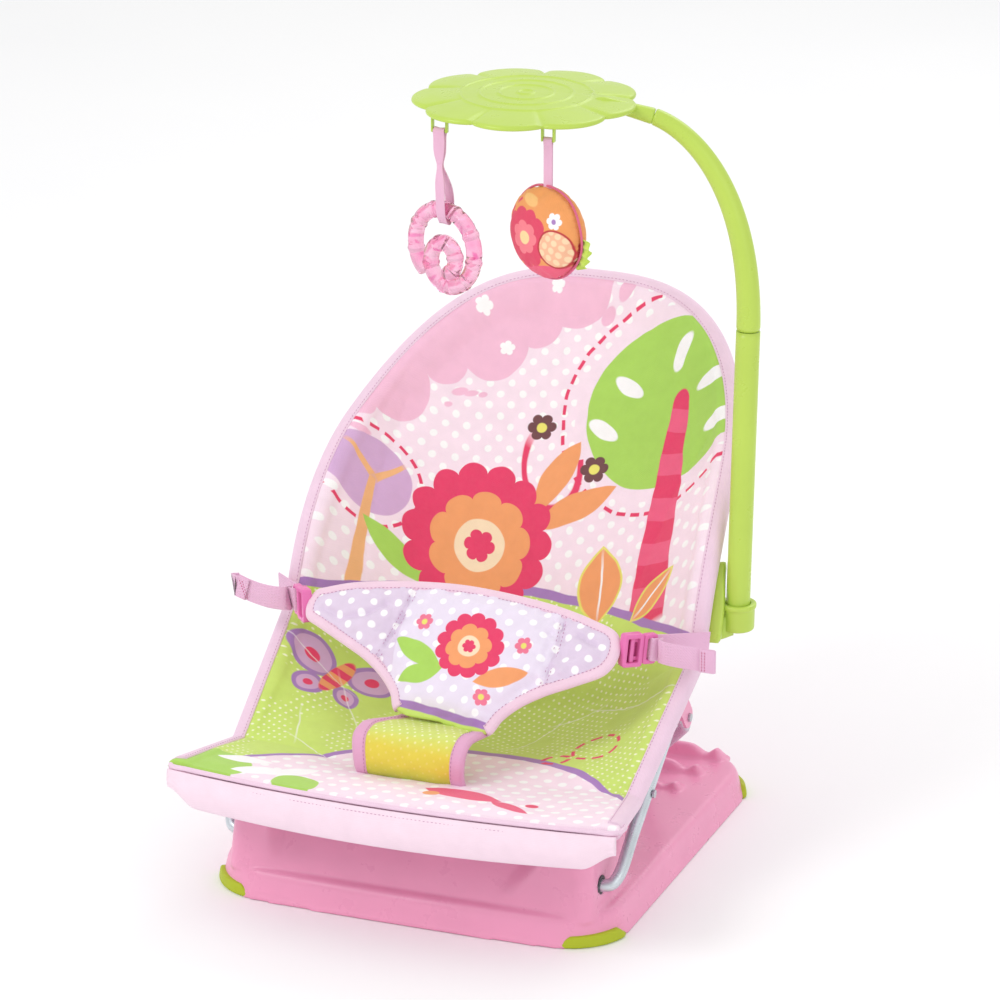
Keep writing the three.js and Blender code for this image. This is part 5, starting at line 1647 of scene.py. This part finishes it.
def make_toys():
    ribbon_cloth = cloth("ribbon_cloth", srgb(232, 180, 208), 0.6, 0.2, 0.55)
    make_teether_ring()
    make_teether_ribbon(ribbon_cloth)
    make_plush_disc()
    make_plush_edge()
    make_plush_ribbon(ribbon_cloth)


make_toys()

# ---- buckles and side straps ---------------------------------------------------------------
BUCKLE_AT = at(178, -48, 248)
BUCKLE_TO = at(230, 14, 239)
SOCKET_FRAME = {"low": -17.0, "high": 5.5, "half": 17.0, "lift": 5.0, "border": 4.6}
PRONG_FRAME = {"low": 6.5, "high": 22.0, "half": 15.5, "lift": 3.6, "border": 4.4}
# The loose end of each strap: (x, y, z) places after it leaves the buckle.
TAILS = {-1: [(199, -42, 247.5), (214, -47, 249), (233, -47, 252), (252, -45, 257)],
         1: [(200, -43, 247), (216, -47, 246.5), (238, -47, 246), (258, -46, 245.5)]}
FOLD = 14.0                     # how much of the loose end is turned back and sewn down
WEBBING_WIDTH = 24
WEBBING_THICKNESS = 1.7


class Buckle:
    """The axes of one buckle: along its strap, across the strap and out of its front."""

    def __init__(self, side):
        flip = np.array([side, 1, 1])
        self.start = BUCKLE_AT * flip
        self.axis = unit(BUCKLE_TO * flip - self.start)
        self.wide = unit(Z_AXIS - self.axis * self.axis[2])
        self.out = np.cross(self.axis, self.wide) * side

    def point(self, along, across, lift):
        return self.start + along * self.axis + across * self.wide + lift * self.out


def window_frame(name, buckle, size, material):
    """A flat moulded frame with rounded edges round an open window."""
    edge, lift = size["border"], size["lift"]
    turns = [(0, lift - 1), (0.3, lift - 0.3), (1, lift), (edge - 1, lift), (edge - 0.3, lift - 0.3),
             (edge, lift - 1)]
    turns += [(inset, -level) for inset, level in reversed(turns)]
    rings = []
    for inset, level in turns:
        outline = rounded_rectangle(size["half"] - inset, size["low"] + inset, size["high"] - inset,
                                    max(3.2 - inset * 0.4, 0.8), 5)
        rings.append([buckle.point(s, w, level) for w, s in outline])
    return loft(name, rings, material, closed=True)


def buckle_bar(name, buckle, low, high, across, width, lift, thick, material):
    path = [buckle.point(s, across, lift) for s in np.linspace(low, high, 8)]
    return strap(name, path, buckle.wide, width, thick, material)


def make_buckle(side, label, shell, inner):
    """The socket, which stays with the lap pad, and the two-armed prong that slides out of it."""
    buckle = Buckle(side)
    parts = [window_frame(f"buckle_socket_{label}_fine", buckle, SOCKET_FRAME, shell),
             buckle_bar("floor", buckle, -14, 3, 0, 27, -3.4, 1.6, inner),
             buckle_bar("bridge", buckle, -8.5, -4.5, 0, 26, 1.2, 3.6, shell)]
    socket = joined(f"buckle_socket_{label}_fine", parts)
    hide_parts(f"buckle_socket_{label}")
    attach(socket, "seat_frame")
    parts = [window_frame(f"buckle_prong_{label}_fine", buckle, PRONG_FRAME, shell)]
    for across in (-9.5, 9.5):
        parts.append(buckle_bar("arm", buckle, -4, 9, across, 5, -0.9, 2.6, shell))
    prong = joined(f"buckle_prong_{label}_fine", parts)
    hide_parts(f"buckle_prong_{label}")
    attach(prong, f"{label}_buckle")
    return buckle


def make_side_strap(side, label, buckle, webbing, thread):
    """One strap: from the frame round the buckle's outer bar and back out to a sewn end."""
    flip = np.array([side, 1, 1])
    line = [buckle.point(s, 0, lift) for s, lift in (
        (84, 0), (60, -1.5), (40, -3), (27, -4.5), (19.8, -5.2), (15.6, -4.2), (14.4, 0),
        (15.4, 4.4), (19.8, 5.6), (25, 6.4))]
    tail = [at(*p) * flip for p in TAILS[side]]
    path = smooth_path(line + tail, 190)
    ahead = unit(path[-1] - path[-4])
    front = np.array([0, -1.0, 0])
    back = [path[-1] + ahead * 1.4 + front * 1.3]
    back += [path[-1] + front * 2.6 - ahead * d for d in np.linspace(0, FOLD, 8)]
    whole = np.vstack([path, back])
    upright = step(-60, -20, np.arange(len(whole)) - len(path) * 0.75)[:, None]
    tilt = np.array([-0.34 if side < 0 else 0, 0, 1.0])
    wide = buckle.wide * (1 - upright) + tilt * upright
    band = strap(f"side_strap_{label}", whole, wide, WEBBING_WIDTH, WEBBING_THICKNESS, webbing)
    reach = 10.5 * unit(tilt)
    lines = []
    for inset in (FOLD - 2.5, FOLD - 5.5):
        middle = path[-1] + front * 3.7 - ahead * inset
        lines.append([middle - reach, middle, middle + reach])
    stitch_line(f"side_strap_{label}_stitches", lines, thread, band, 2.0, 0.9, 0.45)
    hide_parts(f"side_webbing_{label}", f"webbing_tail_{label}")
    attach(band, f"{label}_buckle")


def make_restraint_straps():
    shell = plastic("buckle_plastic", BUCKLE, 0.3, 0.08)
    inner = plastic("buckle_shadow", srgb(206, 84, 150), 0.4, 0.1)
    webbing = cloth("webbing_cloth", WEBBING, 1.5, 0.4, 0.8, 0.88)
    thread = cloth("rose_thread", srgb(206, 92, 140), 0.4, 0.2, 0.6)
    for side, label in ((-1, "left"), (1, "right")):
        make_side_strap(side, label, make_buckle(side, label, shell, inner), webbing, thread)


make_restraint_straps()

# ---- lap pad -------------------------------------------------------------------------------
PAD_ORIGIN = at(0, -38, 262)
PAD_UP = np.array([0, math.sqrt(0.5), math.sqrt(0.5)])
PAD_OUT = np.array([0, -math.sqrt(0.5), math.sqrt(0.5)])
# Outline of the pad in its own plane, (across, up): top edge, right end, bottom, left end.
PAD_OUTLINE = [(-160, -5), (-128, 6), (-91, 13), (-50, 18), (-7, 20), (45, 17), (92, 11), (130, 2),
               (158, -9), (165, -28), (158, -50), (130, -68), (102, -83), (80, -99), (66, -115),
               (56, -133), (5, -128), (-44, -122), (-54, -104), (-70, -87), (-91, -72), (-115, -60),
               (-149, -44), (-164, -36), (-167, -20)]
PAD_BOTTOM = (14, 18)           # places in the outline between which the edge isn't bound
# Lines sewn through the pad, and short folds where it is gathered, in the same plane.
PAD_SEAMS = [[(-57, 17), (-66, -30), (-80, -78)], [(101, 9), (103, -30), (98, -84)]]
PAD_DARTS = [[(-148, -26), (-124, -34), (-100, -28), (-84, -14)], [(122, -18), (142, -26)]]
PAD_MIDDLE = 7.5                # height of the pad's middle surface above its plane


def pad_point(x, v, lift):
    return PAD_ORIGIN + np.array([x, 0, 0]) + v * PAD_UP + lift * PAD_OUT


def pad_places(points):
    """(across, up) and height above the pad's plane, of points."""
    away = points - PAD_ORIGIN
    return np.stack([away[:, 0], away @ PAD_UP], 1), away @ PAD_OUT


def closed_outline(corners, count):
    """Evenly spaced places round a smooth closed curve through flat corners."""
    flat = smooth_path([(x, v, 0) for x, v in corners + corners[:2]], count * 3)[:, :2]
    first = np.argmin(np.linalg.norm(flat[:len(flat) // 6] - corners[0], axis=1))
    last = len(flat) // 2 + np.argmin(np.linalg.norm(flat[len(flat) // 2:] - corners[0], axis=1))
    loop = np.column_stack([flat[first:last + 1], np.zeros(last + 1 - first)])
    return resample(loop, count + 1)[:-1, :2]


def pad_print():
    p = Print("pad_print", PAD_LILAC)
    middle = p.both(p.bar((20, -50), (80, 90), 0, -0.05), p.bar((20, -50), (84, 90), 0))
    p.lay(middle, srgb(236, 224, 242))
    p.lay(p.dots(24.0, 3.7, 8), WHITE)
    p.lay(p.below(-116, -0.12), PURPLE)
    p.lay(p.below(-123, -0.12), FIELD)
    p.lay(p.leaf((-34, -62), (11, 30), 66), CROWN)
    p.lay(p.leaf((-26, -84), (10, 24), 112), CROWN)
    p.lay(p.leaf((58, -76), (11, 28), -70), ORANGE)
    p.lay(p.blossom((18, -48), 36, 13, 5, 0.14), CRIMSON)
    p.lay(p.blossom((17, -49), 24, 8, 12, 0.18), ORANGE)
    p.lay(p.disc((17, -49), 11), srgb(252, 224, 190))
    p.lay(p.blossom((17, -49), 7, 6, 0, 0.3), CRIMSON)
    for centre in ((-36, -28), (72, -40), (44, -100)):
        p.lay(p.blossom(centre, 9, 6, 10, 0.3), srgb(240, 120, 150))
        p.lay(p.disc(centre, 3), YELLOW)
    return p.done()


def make_pad_body():
    outline = closed_outline(PAD_OUTLINE, 240)
    grid = [[pad_point(x, v, lift) for x, v in outline] for lift in (4.0, PAD_MIDDLE, 11.0)]
    pad = loft("lap_pad_fine", grid, None)
    rim = [tuple(p) for p in outline[::3]] + [tuple(outline[0])]

    def held(points):
        flat, _ = pad_places(points)
        return (line_distance(flat, rim) < 7.5) | (seam_distance(flat, PAD_SEAMS) < 2.6)

    inflate(pad, held, 4.5, 7.0)
    points = mesh_points(pad)
    flat, lift = pad_places(points)
    near = seam_distance(flat, PAD_SEAMS)
    dart = seam_distance(flat, PAD_DARTS)
    edge = line_distance(flat, rim)
    place = np.column_stack([flat, 0 * lift])
    side = np.sign(lift - PAD_MIDDLE)
    puff = 4.2 * (1 - np.exp(-near / 9)) * step(6, 22, edge)
    pucker = 5.5 * wobble(place, 0.12, 6) * np.exp(-near / 19) * step(4, 12, edge)
    folds = 1.8 * wobble(place * (1, 0.5, 1), 0.05, 7) * step(4, 16, edge)
    groove = 1.9 * np.exp(-(near / 2.4) ** 2) + 5.5 * np.exp(-(dart / 3.6) ** 2)
    lifted = side * (puff + pucker + folds - groove)
    set_points(pad, points + lifted[:, None] * PAD_OUT)
    map_print(pad, PAD_ORIGIN, (1, 0, 0), PAD_UP)
    dress(pad, pad_print())
    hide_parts("lap_pad")
    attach(pad, "seat_frame")
    return pad, outline


def make_pad_edge(pad, outline, binding, thread):
    """The bound edge round the top, the ends and the curved sides of the pad, and its stitching."""
    first = np.argmin(np.linalg.norm(outline - PAD_OUTLINE[PAD_BOTTOM[1] - 1], axis=1))
    last = np.argmin(np.linalg.norm(outline - PAD_OUTLINE[PAD_BOTTOM[0] + 1], axis=1))
    around = np.roll(outline, -first, axis=0)[:(last - first) % len(outline) + 1]
    tangent = unit(np.gradient(around, axis=0))
    inward = np.stack([tangent[:, 1], -tangent[:, 0]], 1)
    section = [(9.6, 10.9), (9.2, 11.9), (6, 12.5), (3, 12.4), (0.6, 11.2), (-0.9, 9.2),
               (-1.4, PAD_MIDDLE), (-0.9, 5.8), (0.6, 3.8), (3, 2.6), (6, 2.5), (9.2, 3.1),
               (9.6, 4.1)]
    rings = []
    for (x, v), (nx, nv) in zip(around, inward):
        rings.append([pad_point(x + nx * inset, v + nv * inset, lift) for inset, lift in section])
    edge = loft("lap_pad_binding", rings, binding)
    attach(edge, "seat_frame")
    sewn = around + inward * 8.0
    stitch_line("lap_pad_edge_stitches", [[pad_point(x, v, 12.4) for x, v in sewn]], thread, edge)
    lines = []
    for seam in PAD_SEAMS:
        path = smooth_path([(x, v, 0) for x, v in seam], 40)[3:-2]
        for offset in (-2.6, 2.6):
            lines.append([pad_point(x + offset, v, 11.9) for x, v, _ in path])
    stitch_line("lap_pad_seam_stitches", lines, thread, pad)


# ---- crotch strap --------------------------------------------------------------------------
# Middle surface of the strap from under the pad, over its front fold and down to the seat.
STRAP_LINE = [(-116, 169), (-133, 171), (-150, 173.5), (-168, 175), (-180, 172.5), (-187, 165.5),
              (-190, 155), (-189, 144), (-184, 136)]
STRAP_HALF = 2.7                # half thickness
STRAP_ROWS = 64
STRAP_COLUMNS = 70
BOUND_COLUMNS = 9               # columns under each bound edge


def strap_surface():
    """The strap's middle surface: points, normals, flat places, relief and edge distance."""
    line = smooth_path([(0, y, z) for y, z in STRAP_LINE], STRAP_ROWS)
    along = np.linspace(0, np.linalg.norm(np.diff(line, axis=0), axis=1).sum(), STRAP_ROWS)
    flare = step(0, 46, along)
    left = -45 - 23 * flare + 5 * step(58, 96, along)
    right = 54 - 3 * flare
    u = np.linspace(0, 1, STRAP_COLUMNS)
    x = left[:, None] + (right - left)[:, None] * u
    y, z, far = [np.repeat(v[:, None], STRAP_COLUMNS, 1) for v in (line[:, 1], line[:, 2], along)]
    place = np.stack([x, far, 0 * x], -1)
    relief = (1.5 * wobble(place, 0.035, 12) + 0.6 * wobble(place, 0.1, 13)).reshape(x.shape)
    points = np.stack([x, y - CENTRE_Y, z], -1)
    normal = unit(np.cross(np.gradient(points, axis=1), np.gradient(points, axis=0)))
    normal *= np.sign(normal[2, 2, 2])
    edge = np.minimum(u, 1 - u)[None] * (right - left)[:, None]
    return points, normal, place, relief * step(2, 14, edge), edge


def strap_print():
    """Dots on a lime ground; down the strap, yellow painted light on the turned-down front face and a
    darker green painted shadow at the bottom.
    """
    p = Print("strap_print", srgb(214, 226, 112))
    p.lay(p.dots(10.5, 1.1, 20), srgb(246, 250, 200))
    # painted light: yellow laid over the turned-down front face for how the light falls on it
    p.lay(p.both(p.outside(p.below(66, 0.03, 9)), 0.85), srgb(232, 206, 62))
    # painted shadow: darker green over the strap's lower end, near the seat
    p.lay(p.both(p.outside(p.below(98, 0.03, 9)), 0.8), srgb(160, 188, 60))
    return p.done()


def make_crotch_strap(binding, thread):
    points, normal, place, relief, edge = strap_surface()
    rounded = 1 - (1 - np.clip(edge / STRAP_HALF, 0, 1)) ** 2
    thick = STRAP_HALF * np.sqrt(np.clip(rounded, 0.02, 1))
    top = points + normal * (thick + relief + 1.3 * step(3, 30, edge))[..., None]
    under = points - normal * (thick - relief * 0.6)[..., None]
    rows = np.concatenate([top, under[:, ::-1]], 1)
    strip = loft("crotch_strap_fine", rows, None)
    lay_print(strip, np.concatenate([place, place[:, ::-1]], 1).reshape(-1, 3)[:, :2])
    dress(strip, strap_print())
    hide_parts("crotch_strap")
    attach(strip, "seat_frame")
    for name, end, step_in in (("left", 0, 1), ("right", -1, -1)):
        columns = [end + step_in * k for k in range(BOUND_COLUMNS)]
        proud = [1.6] * (BOUND_COLUMNS - 1) + [0.6]
        rings = []
        for r in range(STRAP_ROWS):
            front = [points[r, c] + normal[r, c] * (thick[r, c] + relief[r, c] + lift)
                     for c, lift in zip(columns, proud)]
            rear = [points[r, c] - normal[r, c] * (thick[r, c] + 0.8) for c in columns]
            out = unit(points[r, end] - points[r, columns[1]])
            rings.append(front[::-1] + [points[r, end] + out * 1.4] + rear)
        edge_band = loft(f"crotch_binding_{name}", rings, binding)
        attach(edge_band, "seat_frame")
        inner = columns[-2]
        line = [points[r, inner] + normal[r, inner] * (thick[r, inner] + relief[r, inner] + 1.9)
                for r in range(2, STRAP_ROWS - 2)]
        stitch_line(f"crotch_stitches_{name}", [line], thread, edge_band)


def make_restraint():
    binding = cloth("pad_binding", srgb(242, 208, 226), 0.8, 0.25, 0.75)
    thread = cloth("mauve_stitch", srgb(190, 120, 168), 0.4, 0.2, 0.6)
    pad, outline = make_pad_body()
    make_pad_edge(pad, outline, binding, thread)
    make_crotch_strap(cloth("strap_binding", srgb(228, 168, 202), 0.8, 0.25, 0.75), thread)


make_restraint()

# ---- materials of the CAD pieces that stay -------------------------------------------------
def paint_nodes():
    dark = plastic("dark_plastic", DARK, 0.5, 0.2, 0.75)
    zinc = steel("zinc", srgb(196, 198, 204), 0.34, 0.9)
    brass = steel("brass", srgb(206, 170, 96), 0.34, 0.95)
    pink = plastic("pink_moulding", PINK, 0.34, 0.1)
    looks = {
        dark: ["pivot_bush_left", "pivot_bush_right", "pivot_cap_left", "pivot_cap_right",
               "vibration_housing"],
        zinc: ["vibration_motor", "battery_cell", "battery_door_screw", "tube_plug_left",
               "tube_plug_right", "rail_rivet_left", "rail_rivet_right", "kickstand_pin_left",
               "kickstand_pin_right", "socket_screw"],
        brass: ["eccentric_weight"],
        pink: ["battery_door", "kickstand_bracket_left", "kickstand_bracket_right"],
        GREEN_PLASTIC: ["power_switch", "toy_bar_plug"],
    }
    for material, nodes in looks.items():
        for node in nodes:
            materials = bpy.data.objects[node].data.materials
            materials.clear()
            materials.append(material)


paint_nodes()

# ---- floor and finish ----------------------------------------------------------------------
FLOOR_HALF = 6000.0
FLOOR_Z = -0.4


def make_floor():
    columns = np.linspace(-FLOOR_HALF, FLOOR_HALF, 9)
    points = [(x, y, FLOOR_Z) for y in columns for x in columns]
    floor = mesh_object("floor", points, grid_faces(9, 9), None)
    s = Shader("pale_floor", 0.9)
    tone = s.band(s.noise(s.place(1.0), 0.8), 0.3, 0.7)
    floor.data.materials.append(s.finish(s.mix(tone, srgb(250, 250, 251), srgb(254, 254, 254))))


make_floor()
